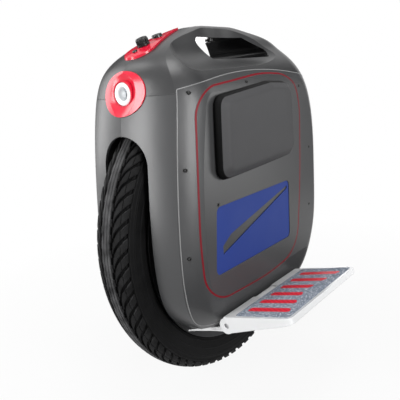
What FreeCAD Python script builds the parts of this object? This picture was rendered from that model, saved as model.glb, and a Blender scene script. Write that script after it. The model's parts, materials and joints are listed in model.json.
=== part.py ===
import FreeCAD, Part
import math
import os

from FreeCAD import Vector

# Electric unicycle in millimetres and degrees: X forward, Y to the left, Z up,
# origin on the ground under the axle. Left is the side with +Y.

# Tyre and wheel
WHEEL_DIA = 482.0
TYRE_WIDTH = 64.0
BEAD_DIA = 355.0
TYRE_WALL = 5.0
TREAD_THICKNESS = 9.0
TREAD_DEPTH = 4.0
SHOULDER_DROP = 8.8
CENTRE_RIB = 17.0
RIB_GROOVE = 3.0
LUG_GROOVE = 5.0
LUG_COUNT = 64
LUG_SLANT = 32.0
BEAD_THICKNESS = 7.0
TUBE_WALL = 2.0
tyre_belly_share = 0.55
tyre_shoulder_share = 0.86

# Rim and hub motor
RIM_WIDTH = 56.0
RIM_FLANGE = 3.0
RIM_FLANGE_HEIGHT = 10.0
RIM_WELL_DEPTH = 6.0
RIM_WELL_WIDTH = 24.0
MOTOR_BORE_DIA = 300.0
MAGNET_THICKNESS = 5.5
MAGNET_COUNT = 40
magnet_arc_share = 0.86
AIR_GAP = 1.0
STATOR_WIDTH = 32.0
STATOR_BACK = 10.0
STATOR_TOOTH = 24.0
STATOR_WEB = 6.0
SLOT_WIDTH = 8.0
SLOT_COUNT = 36
WINDING_HEIGHT = 4.5
COVER_DIA = 322.0
COVER_THICKNESS = 4.0
COVER_DISH = 5.0
COVER_RIB_HEIGHT = 2.0
COVER_RIB_WIDTH = 6.0
COVER_RIB_COUNT = 9
BEARING_DIA = 47.0
BEARING_WIDTH = 14.0
BEARING_BOSS = 7.0
AXLE_DIA = 20.0
AXLE_FLAT = 16.0
RUNNING_FIT = 0.05
COVER_SCREW_DIA = 7.0
COVER_SCREW_HEIGHT = 2.5
COVER_SCREW_COUNT = 12
VALVE_DIA = 8.0
VALVE_CAP_DIA = 10.0
VALVE_CAP_LENGTH = 6.0
VALVE_REACH = 9.0

# Casing: reaches from the axle, half width of the flank and the stack over the tyre
FRONT_REACH = 198.0
REAR_REACH = 226.0
BODY_HALF = 100.0
BODY_DROP = 117.0
SKIN = 4.0
SEAM = 0.4
TUNNEL_CLEARANCE = 7.0
TUNNEL_WALL = 3.0
TUNNEL_END_GAP = 28.0
CROWN_FLOOR = 14.0
HANDLE_GAP = 33.0
HANDLE_BAR = 18.0
HANDLE_WEB = 38.0
HANDLE_X = -24.0
SCOOP_SPREAD = 58.0
SCOOP_LIFT = 14.0
SCOOP_DROP = 18.0
SCOOP_LIP = 7.0
SCOOP_FRONT_X = 146.0
SCOOP_REAR_X = -155.0
scoop_slope_share = 0.045
scoop_front_shares = ((0.0, 0.20), (0.16, 0.20), (0.30, 0.20), (0.45, 0.25), (0.72, 0.27), (0.83, 0.32),
                      (0.90, 0.48), (0.955, 0.72), (1.0, 1.0))
scoop_rear_shares = ((1.0, 1.0), (0.92, 0.90), (0.80, 0.72), (0.55, 0.53), (0.22, 0.28))
HANDLE_FRONT_X = 64.0
HANDLE_REAR_X = -118.0
HANDLE_FRONT_LEAN = 32.0
HANDLE_REAR_LEAN = 58.0
handle_round_share = 0.22
ARCH_SIDE_GAP = 10.0
ARCH_GAP = 17.0
SEAM_DROP = 5.0
SHELL_WALL = 3.6
FLOOR_WALL = 3.0
ARM_SLOT_GAP = 2.0

# Plan outlines of the casing, bottom to top: height, front, rear and half width
body_section_shares = (
    (0.000, 0.758, 0.700, 0.90),
    (0.037, 0.850, 0.779, 0.95),
    (0.088, 0.929, 0.841, 0.99),
    (0.164, 0.980, 0.907, 1.02),
    (0.268, 1.000, 0.960, 1.03),
    (0.406, 0.995, 0.985, 1.03),
    (0.570, 0.970, 1.000, 1.03),
    (0.707, 0.934, 0.973, 1.02),
    (0.792, 0.899, 0.915, 0.98),
    (0.845, 0.868, 0.872, 0.86),
    (0.891, 0.795, 0.810, 0.68),
    (0.938, 0.610, 0.710, 0.50),
    (0.972, 0.400, 0.530, 0.37),
    (0.992, 0.250, 0.360, 0.27),
    (1.000, 0.110, 0.190, 0.15),
)
corner_width_share = 0.78
corner_depth_low_share = 0.11
corner_depth_rise_share = 0.14
crease_pole_share = 0.62
flank_taper_share = 0.52

# Side panel outline: follows the casing's corners between these rows of the table
PANEL_LIP = 2.0
PANEL_FOOT = 8.0
panel_first_row = 1
panel_last_row = 8
panel_foot_front_share = 0.62
panel_foot_rear_share = 0.50
panel_crown_share = 0.835

# Red line on the panel
STRIP_WIDTH = 2.6
STRIP_DEPTH = 1.2
strip_front_shares = ((0.303, 0.804), (0.692, 0.788), (0.758, 0.527),
                      (0.793, 0.303), (0.778, 0.166), (0.616, 0.106))
strip_rear_shares = ((0.000, 0.092), (0.319, 0.111), (0.456, 0.171), (0.535, 0.406),
                     (0.571, 0.684), (0.522, 0.771), (0.398, 0.815), (0.111, 0.824))

# Knee pad, blue window and panel screws
PAD_HEIGHT = 20.0
PAD_CROWN = 2.0
PAD_SINK = 8.0
PAD_WALL = 12.0
PAD_DRAFT = 2.0
PAD_CHAMFER = 9.0
PAD_CROWN_INSET = 22.0
PAD_ROUND = 18.0
pad_front_shares = ((0.600, 0.494), (0.564, 0.765))
pad_rear_shares = ((0.084, 0.797), (0.360, 0.790), (0.372, 0.515))
WINDOW_RECESS = 1.0
WINDOW_THICKNESS = 1.5
WINDOW_ROUND = 9.0
window_front_shares = ((0.664, 0.192), (0.602, 0.416))
window_rear_shares = ((0.359, 0.416), (0.338, 0.192))
groove_low_shares = ((0.10, 0.27), (0.97, 0.86))
groove_high_shares = ((0.97, 0.91), (0.20, 0.53), (0.10, 0.40))
PANEL_SCREW_DIA = 5.0
PANEL_SCREW_DEPTH = 2.0
PANEL_SCREW_PROUD = 0.4
panel_screw_front_shares = ((0.722, 0.780), (0.825, 0.554), (0.870, 0.281), (0.115, 0.797), (0.581, 0.424))
panel_screw_rear_shares = ((0.570, 0.764), (0.694, 0.518), (0.661, 0.283))

# Lamps
LAMP_RISE = 226.0
BEZEL_RISE = 1.5
BEZEL_DEPTH = 16.0
DISH_DEPTH = 8.0
DISH_RADIUS = 70.0
BEZEL_WIDTH = 78.0
BEZEL_HEIGHT = 60.0
LAMP_RING_DIA = 32.0
LAMP_RING_WALL = 7.2
LAMP_RING_PROUD = 6.0
LAMP_COLLAR = 2.0
LAMP_DEPTH = 14.0
LENS_THICKNESS = 5.0
LENS_RECESS = 2.0
TAIL_WIDTH = 70.0
TAIL_HEIGHT = 22.0
TAIL_THICKNESS = 4.0
TAIL_DROP = 26.0
tail_round_share = 0.9

# Control pod on the front slope
POD_PLATE = 2.5
POD_HALF_WIDTH = 24.0
POD_NOSE_X = 132.0
POD_TAIL_X = 50.0
POD_POCKET_HALF = 16.0
POD_POCKET_DEPTH = 42.0
POD_WALL = 4.0
CAP_X = 125.0
CAP_DIA = 18.5
CAP_HEIGHT = 10.0
SOCKET_DIA = 13.0
SOCKET_PROUD = 9.0
SOCKET_DEPTH = 14.0
POWER_X = 96.0
POWER_DIA = 15.5
POWER_PROUD = 4.0
POWER_DEPTH = 9.0
LIGHT_X = 143.0
LIGHT_DIA = 7.0
LIGHT_PROUD = 2.0
LIGHT_DEPTH = 8.0
BUTTON_GAP = 0.3
CUTOFF_DIA = 14.0
CUTOFF_PROUD = 2.0
CUTOFF_DEPTH = 4.0
CUTOFF_TRAVEL = 2.0
CUTOFF_SPARE = 1.0

# Pedal hanger
HANGER_ARM = 12.0
HANGER_BOSS_DIA = 52.0
HANGER_ARM_WIDTH = 74.0
HANGER_ARM_X = 12.0
FOOT_THICKNESS = 7.0
FOOT_GAP = 2.0
FOOT_FRONT_X = 142.0
FOOT_REAR_X = -98.0
FOOT_TIP_FRONT_X = 116.0
FOOT_TIP_REAR_X = -70.0
FOOT_TAPER = 40.0
FOOT_LIP = 1.5
CLAMP_SLOT = 3.0
CLAMP_SLOT_DEPTH = 32.0
HANGER_BOLT_DIA = 6.0
HANGER_BOLT_HEAD_DIA = 10.0
HANGER_BOLT_HEAD = 4.0
HANGER_BOLT_SPACING = 44.0
HANGER_BOLT_DROP = 58.0
AXLE_NUT_FLATS = 30.0
AXLE_NUT_HEIGHT = 11.0
AXLE_SPARE = 5.0

# Pedal, flat in its own frame and then tipped up about the hinge
HINGE_OUT = 8.0
HINGE_RISE = 9.0
PEDAL_TIP_UP = 12.0
PEDAL_FOLD = 64.0
PEDAL_LENGTH = 211.0
PEDAL_X = 23.5
PEDAL_REACH = 109.0
PEDAL_TOP = 13.5
PEDAL_EDGE = 9.0
PEDAL_BACK = 2.0
PEDAL_ROUND = 10.0
BARREL_DIA = 24.0
barrel_tangent_share = 0.86
PIN_DIA = 8.0
PIN_RECESS = 3.0
KNUCKLE_WIDTH = 50.0
KNUCKLE_DIA = 23.0
KNUCKLE_GAP = 0.5
KNUCKLE_ROOM = 14.0
GRIP_BORDER = 5.0
GRIP_INNER = 15.0
GRIP_THICKNESS = 1.2
GRIP_RECESS = 0.8
GRIP_ROUND = 6.0
STRIPE_WIDTH = 13.0
STRIPE_ROUND = 4.0
STRIPE_PITCH = 30.5
STRIPE_INNER = 25.0
STRIPE_LONG = 68.0
STRIPE_COUNT = 6
stripe_waist_share = 0.26
stripe_cut_share = 0.45

# Batteries and electrics
BATTERY_GAP = 11.0
BATTERY_ROUND = 9.0
BATTERY_FRONT_X = 122.0
BATTERY_REAR_X = -150.0
BATTERY_MIDDLE = 58.0
BATTERY_LOW = 66.0
BATTERY_HIGH = 186.0
SINK_WIDTH = 88.0
SINK_LOW = 52.0
SINK_HEIGHT = 130.0
SINK_BASE = 5.0
SINK_DEPTH = 14.0
SINK_FIN = 3.0
SINK_FIN_COUNT = 8
BOARD_THICKNESS = 2.0
BOARD_MARGIN = 4.0
CONNECTOR_WIDTH = 34.0
CONNECTOR_HEIGHT = 18.0
CONNECTOR_REACH = 24.0
CABLE_DIA = 9.0
CABLE_BEND = 9.5
CABLE_STUB = 1.5
FAN_SIZE = 40.0
FAN_DEPTH = 10.0
FAN_BORE_DIA = 37.0
FAN_TIP_GAP = 1.0
FAN_HUB_DIA = 16.0
FAN_POST_DIA = 4.0
FAN_SPOKE = 3.0
FAN_BACK = 2.0
FAN_BLADE = 1.6
FAN_BLADES = 7
FAN_PITCH = 38.0
FAN_RISE = 205.0
SPEAKER_DIA = 60.0
SPEAKER_DEPTH = 22.0
SPEAKER_CONE_DIA = 46.0
SPEAKER_CONE_DEPTH = 6.0
SPEAKER_RISE = 110.0
OVERRUN = 6.0
FAR = 700.0
TOUCH = 0.001

# Derived places
WHEEL_R = WHEEL_DIA / 2
AXLE_Z = WHEEL_R
BEAD_R = BEAD_DIA / 2
FLANGE_R = BEAD_R + RIM_FLANGE_HEIGHT
TYRE_HALF = TYRE_WIDTH / 2
RIM_HALF = RIM_WIDTH / 2
MOTOR_R = MOTOR_BORE_DIA / 2
AXLE_R = AXLE_DIA / 2
COVER_IN = RIM_HALF - COVER_THICKNESS / 2
ARCH_HALF = TYRE_HALF + ARCH_SIDE_GAP
SHELL_OUT = ARCH_HALF + SHELL_WALL
ARM_IN = SHELL_OUT
ARM_OUT = ARM_IN + HANGER_ARM
AXLE_END = ARM_OUT + AXLE_NUT_HEIGHT + AXLE_SPARE
TUNNEL_R = WHEEL_R + TUNNEL_CLEARANCE
TUNNEL_OUT_R = TUNNEL_R + TUNNEL_WALL
BODY_LOW = AXLE_Z - BODY_DROP
HANDLE_FLOOR = AXLE_Z + TUNNEL_OUT_R + CROWN_FLOOR
HANDLE_ROOF = HANDLE_FLOOR + HANDLE_GAP
BODY_TOP = HANDLE_ROOF + HANDLE_BAR
BODY_HEIGHT = BODY_TOP - BODY_LOW
WEB_HALF = HANDLE_WEB / 2
LAMP_Z = AXLE_Z + LAMP_RISE
SEAM_Z = LAMP_Z - SEAM_DROP
FOOT_TOP = BODY_LOW - FOOT_GAP
FOOT_LOW = FOOT_TOP - FOOT_THICKNESS
HINGE_Y = BODY_HALF + HINGE_OUT
HINGE_Z = BODY_LOW + HINGE_RISE
BATTERY_OUT = BODY_HALF - SKIN - BATTERY_GAP
PAD_FOOT = BODY_HALF

UP = Vector(0, 0, 1)
SIDE = Vector(0, 1, 0)
AHEAD = Vector(1, 0, 0)
AXLE = Vector(0, 0, AXLE_Z)
TURN = 360.0


# Small helpers

def box(x0, x1, y0, y1, z0, z1):
    return Part.makeBox(x1 - x0, y1 - y0, z1 - z0, Vector(x0, y0, z0))


def rod_y(x, z, dia, y0, y1):
    return Part.makeCylinder(dia / 2, y1 - y0, Vector(x, y0, z), SIDE)


def rod_x(y, z, dia, x0, x1):
    return Part.makeCylinder(dia / 2, x1 - x0, Vector(x0, y, z), AHEAD)


def mirrored(shape):
    """The same piece on the other side of the wheel."""
    return shape.mirror(Vector(0, 0, 0), SIDE)


def both_sides(shape):
    return [shape, mirrored(shape)]


def polygon(points):
    return Part.makePolygon(points + points[:1])


def slab(wire, travel):
    return Part.Face(wire).extrude(travel)


def around_axle(shape, angle):
    copy = shape.copy()
    copy.rotate(AXLE, SIDE, angle)
    return copy


def spun(profile):
    """Revolve a closed profile of (side, radius) points or edges about the axle."""
    wire = profile if isinstance(profile, Part.Wire) else polygon([wheel_point(p) for p in profile])
    return Part.Face(wire).revolve(AXLE, SIDE, TURN)


def wheel_point(point):
    return Vector(0, point[0], AXLE_Z + point[1])


def flank_point(share):
    """A point on the flank from shares of the front reach and of the casing height."""
    return Vector(FRONT_REACH * share[0], 0, BODY_LOW + BODY_HEIGHT * share[1])


def tail_point(share):
    return Vector(-REAR_REACH * share[0], 0, BODY_LOW + BODY_HEIGHT * share[1])


def arc(start, middle, end):
    return Part.Arc(start, middle, end).toShape()


def line(start, end):
    return Part.LineSegment(start, end).toShape()


def rounded(points, radius):
    """A closed outline with every corner rounded by a tangent arc."""
    edges = []
    starts = []
    ends = []
    middles = []
    count = len(points)
    for i in range(count):
        corner = points[i]
        to_last = (points[i - 1] - corner).normalize()
        to_next = (points[(i + 1) % count] - corner).normalize()
        half = to_last.getAngle(to_next) / 2
        reach = radius / math.tan(half)
        centre = corner + (to_last + to_next).normalize() * (radius / math.sin(half))
        starts.append(corner + to_last * reach)
        ends.append(corner + to_next * reach)
        middles.append(centre + (corner - centre).normalize() * radius)
    for i in range(count):
        edges.append(arc(starts[i], middles[i], ends[i]))
        edges.append(line(ends[i], starts[(i + 1) % count]))
    return Part.Wire(edges)


def softened(points):
    """A closed outline in which every corner has the largest arc that its two edges allow."""
    count = len(points)
    edges = []
    for i in range(count):
        corner = points[i]
        before = (corner + points[i - 1]) / 2
        after = (corner + points[(i + 1) % count]) / 2
        reach = min((before - corner).Length, (after - corner).Length)
        to_last = (before - corner).normalize()
        to_next = (after - corner).normalize()
        half = to_last.getAngle(to_next) / 2
        radius = reach * math.tan(half)
        centre = corner + (to_last + to_next).normalize() * (radius / math.sin(half))
        start = corner + to_last * reach
        end = corner + to_next * reach
        middle = centre + (corner - centre).normalize() * radius
        if (start - before).Length > TOUCH:
            edges.append(line(before, start))
        edges.append(arc(start, middle, end))
        if (after - end).Length > TOUCH:
            edges.append(line(end, after))
    return Part.Wire(edges)


def grown(wire, distance):
    return wire.makeOffset2D(distance) if distance else wire


def moved(shape, x=0, y=0, z=0):
    copy = shape.copy()
    copy.translate(Vector(x, y, z))
    return copy


def save(name, shape):
    solids = shape if isinstance(shape, list) else shape.Solids
    result = Part.makeCompound(solids) if len(solids) > 1 else solids[0]
    if not result.isValid():
        print("not valid:", name)
    print(f"{name}: {len(solids)} solids, {result.Volume / 1000:.1f} cm3")
    result.exportStep(f"parts/{name}.step")


# Casing form: plan outlines lofted bottom to top, then cut flat at the flanks

def corner_depth(z, half):
    """How far a fascia corner lies behind the nose, deeper towards the top."""
    rise = (z - BODY_LOW) / BODY_HEIGHT
    return half * (corner_depth_low_share + corner_depth_rise_share * rise)


def body_outline(z, front, rear, half, inset):
    """One plan outline: front crease, fascia corner, flank, tail corner and tail on each side."""
    nose = front - inset
    tail = -rear + inset
    flank = half - inset
    corner_y = half * corner_width_share - inset
    depth = corner_depth(z, half)
    taper = half * flank_taper_share
    crease_y = corner_y * crease_pole_share
    side = [
        ((nose, 0), (nose - depth / 4, crease_y), (nose - depth, corner_y)),
        ((nose - depth, corner_y), (nose - depth - taper / 2, flank), (nose - depth - taper, flank)),
        ((nose - depth - taper, flank), (tail + depth + taper, flank)),
        ((tail + depth + taper, flank), (tail + depth + taper / 2, flank), (tail + depth, corner_y)),
        ((tail + depth, corner_y), (tail + depth / 4, crease_y), (tail, 0)),
    ]
    other = [tuple((x, -y) for x, y in reversed(poles)) for poles in reversed(side)]
    edges = []
    for poles in side + other:
        curve = Part.BezierCurve()
        curve.setPoles([Vector(x, y, z) for x, y in poles])
        edges.append(curve.toShape())
    return Part.Wire(edges)


forms = {}


def body(inset):
    """The casing as one solid, drawn in by inset all round but open below."""
    if inset not in forms:
        rows = []
        for height, front, rear, width in body_section_shares:
            z = BODY_LOW + BODY_HEIGHT * height
            z -= inset * height ** 4
            if height == 0 and inset > 0:
                z -= OVERRUN
            rows.append(body_outline(z, FRONT_REACH * front, REAR_REACH * rear, BODY_HALF * width, inset))
        form = Part.makeLoft(rows, True, False)
        half = BODY_HALF - inset
        forms[inset] = form.common(box(-FAR, FAR, -half, half, -FAR, FAR))
    return forms[inset]


def crown_z(x):
    """Height of the casing's top line at x."""
    return body(0).common(line(Vector(x, 0, HANDLE_FLOOR - HANDLE_GAP), Vector(x, 0, FAR))).BoundBox.ZMax


def nose_x(z):
    return body(0).common(line(Vector(0, 0, z), Vector(FAR, 0, z))).BoundBox.XMax


def tail_x(z):
    return body(0).common(line(Vector(-FAR, 0, z), Vector(0, 0, z))).BoundBox.XMin


def panel_wire():
    """Side panel outline: along the casing's corners, with a bowed top and a straight foot."""
    front = []
    rear = []
    for height, nose, tail, width in body_section_shares[panel_first_row:panel_last_row + 1]:
        z = BODY_LOW + BODY_HEIGHT * height
        depth = corner_depth(z, BODY_HALF * width) + PANEL_LIP
        front.append(Vector(FRONT_REACH * nose - depth, 0, z))
        rear.append(Vector(depth - REAR_REACH * tail, 0, z))
    foot_z = BODY_LOW + PANEL_FOOT
    foot_front = Vector(FRONT_REACH * panel_foot_front_share, 0, foot_z)
    foot_rear = Vector(-REAR_REACH * panel_foot_rear_share, 0, foot_z)
    crown = Vector(0, 0, BODY_LOW + BODY_HEIGHT * panel_crown_share)
    edges = []
    for points in ([foot_front] + front, [foot_rear] + rear):
        curve = Part.BSplineCurve()
        curve.interpolate(points)
        edges.append(curve.toShape())
    edges.append(line(foot_front, foot_rear))
    edges.append(arc(front[-1], crown, rear[-1]))
    return Part.Wire(Part.__sortEdges__(edges))


def panel_prism():
    """Everything beside the wheel inside the panel's outline, on the left."""
    return moved(slab(panel_wire(), SIDE * FAR), y=SHELL_OUT)


def panel_room():
    """What the top shell and the fascias leave free for the left panel."""
    if "panel room" not in forms:
        forms["panel room"] = panel_prism().cut(body(SKIN))
    return forms["panel room"]


def strip_wire():
    points = [flank_point(s) for s in strip_front_shares] + [tail_point(s) for s in strip_rear_shares]
    return softened(points)


def strip_prism():
    half = STRIP_WIDTH / 2
    ring = slab(grown(strip_wire(), half), SIDE * FAR).cut(slab(grown(strip_wire(), -half), SIDE * FAR))
    return ring


def pad_wire():
    points = [flank_point(s) for s in pad_front_shares] + [tail_point(s) for s in pad_rear_shares]
    return rounded(points, PAD_ROUND)


def window_wire():
    points = [flank_point(s) for s in window_front_shares] + [tail_point(s) for s in window_rear_shares]
    return rounded(points, WINDOW_ROUND)


def screw_rods():
    places = [flank_point(s) for s in panel_screw_front_shares]
    places += [tail_point(s) for s in panel_screw_rear_shares]
    return Part.makeCompound([rod_y(p.x, p.z, PANEL_SCREW_DIA, SHELL_OUT, FAR) for p in places])


def arch_cut(reach, ahead):
    """Slot for the tyre: straight legs and a round top that clears the tread."""
    skin_x = reach - SKIN
    rise = math.sqrt((WHEEL_R + ARCH_GAP) ** 2 - skin_x ** 2)
    low = BODY_LOW - OVERRUN
    spring_z = AXLE_Z + rise - ARCH_HALF
    left = Vector(0, ARCH_HALF, spring_z)
    right = Vector(0, -ARCH_HALF, spring_z)
    wire = Part.Wire([
        line(Vector(0, ARCH_HALF, low), left),
        arc(left, Vector(0, 0, AXLE_Z + rise), right),
        line(right, Vector(0, -ARCH_HALF, low)),
        line(Vector(0, -ARCH_HALF, low), Vector(0, ARCH_HALF, low)),
    ])
    return slab(wire, AHEAD * (FAR * ahead))


# Wheel

def tyre():
    bead = RIM_HALF - RIM_FLANGE
    foot = BEAD_R
    belly = BEAD_R + (WHEEL_R - BEAD_R) * tyre_belly_share
    shoulder = TYRE_HALF * tyre_shoulder_share
    shoulder_r = WHEEL_R - SHOULDER_DROP
    inner = shoulder - TYRE_WALL
    inner_r = shoulder_r - TREAD_THICKNESS / 2
    toe = bead - BEAD_THICKNESS
    p = wheel_point
    outline = Part.Wire([
        line(p((bead, foot)), p((bead, FLANGE_R))),
        arc(p((bead, FLANGE_R)), p((TYRE_HALF, belly)), p((shoulder, shoulder_r))),
        arc(p((shoulder, shoulder_r)), p((0, WHEEL_R)), p((-shoulder, shoulder_r))),
        arc(p((-shoulder, shoulder_r)), p((-TYRE_HALF, belly)), p((-bead, FLANGE_R))),
        line(p((-bead, FLANGE_R)), p((-bead, foot))),
        line(p((-bead, foot)), p((-toe, foot))),
        arc(p((-toe, foot)), p((-TYRE_HALF + TYRE_WALL, belly)), p((-inner, inner_r))),
        arc(p((-inner, inner_r)), p((0, WHEEL_R - TREAD_THICKNESS)), p((inner, inner_r))),
        arc(p((inner, inner_r)), p((TYRE_HALF - TYRE_WALL, belly)), p((toe, foot))),
        line(p((toe, foot)), p((bead, foot))),
    ])
    return spun(outline).cut(Part.makeCompound(tread_grooves()))


def tread_floor():
    """Solid of revolution under the tread: slots between the lugs go no deeper."""
    edge = TYRE_HALF - TREAD_DEPTH / 2
    low = WHEEL_R - SHOULDER_DROP - TREAD_DEPTH
    p = wheel_point
    return spun(Part.Wire([
        line(p((edge, 0)), p((edge, low))),
        arc(p((edge, low)), p((0, WHEEL_R - TREAD_DEPTH)), p((-edge, low))),
        line(p((-edge, low)), p((-edge, 0))),
        line(p((-edge, 0)), p((edge, 0))),
    ]))


def tread_grooves():
    """Two rings beside the centre rib and slanting slots between the shoulder lugs."""
    rib = CENTRE_RIB / 2
    roof = WHEEL_R + OVERRUN
    low = WHEEL_R - SHOULDER_DROP - 2 * TREAD_DEPTH
    cuts = []
    for side in (1, -1):
        cuts.append(spun([(side * rib, low), (side * (rib + RIB_GROOVE), low),
                          (side * (rib + RIB_GROOVE), roof), (side * rib, roof)]))
        slot = box(-LUG_GROOVE / 2, LUG_GROOVE / 2, rib, TYRE_WIDTH, AXLE_Z + low, AXLE_Z + roof)
        slot.rotate(Vector(0, rib, AXLE_Z), UP, LUG_SLANT)
        slot = slot.common(box(-FAR, FAR, rib, FAR, 0, FAR))
        if side < 0:
            slot = mirrored(slot)
        phase = 0 if side > 0 else 0.5
        for i in range(LUG_COUNT):
            cuts.append(around_axle(slot, (i + phase) * TURN / LUG_COUNT))
    floor = tread_floor()
    return [c.cut(floor) for c in cuts]


def inner_tube():
    outer = TYRE_HALF - TYRE_WALL - BEAD_THICKNESS
    place = WHEEL_R - TREAD_THICKNESS - outer
    ring = Part.makeTorus(place, outer, AXLE, SIDE)
    return ring.cut(Part.makeTorus(place, outer - TUBE_WALL, AXLE, SIDE))


def rim():
    seat = RIM_HALF - RIM_FLANGE
    well = RIM_WELL_WIDTH / 2
    well_r = BEAD_R - RIM_WELL_DEPTH
    ledge_r = COVER_DIA / 2
    half = [(RIM_HALF, ledge_r), (RIM_HALF, FLANGE_R), (seat, FLANGE_R), (seat, BEAD_R),
            (well, BEAD_R), (well, well_r)]
    inside = [(COVER_IN, MOTOR_R), (COVER_IN, ledge_r)]
    profile = half + [(-y, r) for y, r in reversed(half)] + [(-y, r) for y, r in reversed(inside)] + inside
    return spun(profile).cut(valve_rod(VALVE_DIA))


def valve_line():
    start = wheel_point((RIM_WELL_WIDTH / 4, BEAD_R))
    end = wheel_point((RIM_HALF + VALVE_REACH, COVER_DIA / 2 + VALVE_DIA / 4))
    return start, end


def valve_rod(dia):
    start, end = valve_line()
    return Part.makeCylinder(dia / 2, (end - start).Length, start, end - start)


def valve_stem():
    start, end = valve_line()
    way = (end - start).normalize()
    cap = Part.makeCylinder(VALVE_CAP_DIA / 2, VALVE_CAP_LENGTH, end - way * VALVE_CAP_LENGTH, way)
    return valve_rod(VALVE_DIA).fuse(cap).removeSplitter()


def motor_cover():
    bore = BEARING_DIA / 2
    boss = bore + BEARING_BOSS
    face = COVER_IN + COVER_THICKNESS
    hub = face + COVER_DISH
    back = hub - BEARING_WIDTH - COVER_THICKNESS / 2
    edge = COVER_DIA / 2
    shell = spun([(back, bore), (back, boss), (COVER_IN, boss + COVER_DISH), (COVER_IN, edge), (face, edge),
                  (face, edge - SLOT_WIDTH * 2), (hub, boss + COVER_DISH * 2), (hub, bore)])
    rib = box(-COVER_RIB_WIDTH / 2, COVER_RIB_WIDTH / 2, COVER_IN, hub + COVER_RIB_HEIGHT,
              AXLE_Z + boss, AXLE_Z + edge - SLOT_WIDTH * 2)
    skin = spun([(face - COVER_THICKNESS / 2, edge - SLOT_WIDTH * 2), (hub - COVER_THICKNESS / 2, boss),
                 (hub + COVER_RIB_HEIGHT, boss), (face + COVER_RIB_HEIGHT, edge - SLOT_WIDTH * 2)])
    ribs = [around_axle(rib.common(skin), i * TURN / COVER_RIB_COUNT) for i in range(COVER_RIB_COUNT)]
    return shell.fuse(ribs).removeSplitter()


def cover_screws():
    place = AXLE_Z + COVER_DIA / 2 - SLOT_WIDTH
    face = COVER_IN + COVER_THICKNESS
    head = rod_y(0, place, COVER_SCREW_DIA, face, face + COVER_SCREW_HEIGHT)
    heads = []
    for i in range(COVER_SCREW_COUNT):
        heads += both_sides(around_axle(head, (i + 0.5) * TURN / COVER_SCREW_COUNT))
    return heads


def magnet_ring():
    half = STATOR_WIDTH / 2
    inner = MOTOR_R - MAGNET_THICKNESS
    corners = ((-half, inner), (half, inner), (half, MOTOR_R), (-half, MOTOR_R))
    profile = polygon([wheel_point(p) for p in corners])
    bar = Part.Face(profile).revolve(AXLE, SIDE, magnet_arc_share * TURN / MAGNET_COUNT)
    return [around_axle(bar, i * TURN / MAGNET_COUNT) for i in range(MAGNET_COUNT)]


def bearings():
    hub = COVER_IN + COVER_THICKNESS + COVER_DISH
    bore = AXLE_R + RUNNING_FIT
    outer = BEARING_DIA / 2
    ring = spun([(hub - BEARING_WIDTH, bore), (hub - BEARING_WIDTH, outer), (hub, outer), (hub, bore)])
    return both_sides(ring)


# Axle and stator

def axle():
    rod = rod_y(0, AXLE_Z, AXLE_DIA, -AXLE_END, AXLE_END)
    flat = box(AXLE_FLAT / 2, AXLE_DIA, ARM_IN, AXLE_END + OVERRUN, AXLE_Z - AXLE_DIA, AXLE_Z + AXLE_DIA)
    back = box(-AXLE_DIA, -AXLE_FLAT / 2, ARM_IN, AXLE_END + OVERRUN, AXLE_Z - AXLE_DIA, AXLE_Z + AXLE_DIA)
    return rod.cut([flat, back, mirrored(flat), mirrored(back)])


def stator_core():
    half = STATOR_WIDTH / 2
    tip = MOTOR_R - MAGNET_THICKNESS - AIR_GAP
    root = tip - STATOR_TOOTH
    back = root - STATOR_BACK
    web = STATOR_WEB / 2
    ring = spun([(-half, back), (-half, tip), (half, tip), (half, back)])
    slot = box(-SLOT_WIDTH / 2, SLOT_WIDTH / 2, -half - OVERRUN, half + OVERRUN,
               AXLE_Z + root, AXLE_Z + tip + OVERRUN)
    ring = ring.cut([around_axle(slot, i * TURN / SLOT_COUNT) for i in range(SLOT_COUNT)])
    reach = back + STATOR_BACK / 2
    disc = spun([(-web, AXLE_R), (-web, reach), (web, reach), (web, AXLE_R)])
    return ring.fuse(disc).removeSplitter()


def stator_winding():
    half = STATOR_WIDTH / 2
    tip = MOTOR_R - MAGNET_THICKNESS - AIR_GAP
    low = tip - STATOR_TOOTH
    high = tip - STATOR_TOOTH / 4
    top = half + WINDING_HEIGHT
    middle = (low + high) / 2
    p = wheel_point
    wire = Part.Wire([
        line(p((half, low)), p((half, high))),
        arc(p((half, high)), p((top, middle)), p((half, low))),
    ])
    return both_sides(spun(wire))


def axle_nuts():
    radius = AXLE_NUT_FLATS / math.sqrt(3)
    corners = []
    for i in range(6):
        angle = math.radians(i * TURN / 6)
        corners.append(Vector(radius * math.cos(angle), ARM_OUT, AXLE_Z + radius * math.sin(angle)))
    nut = slab(polygon(corners), SIDE * AXLE_NUT_HEIGHT)
    return both_sides(nut.cut(axle()))


# Pedal hanger

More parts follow.
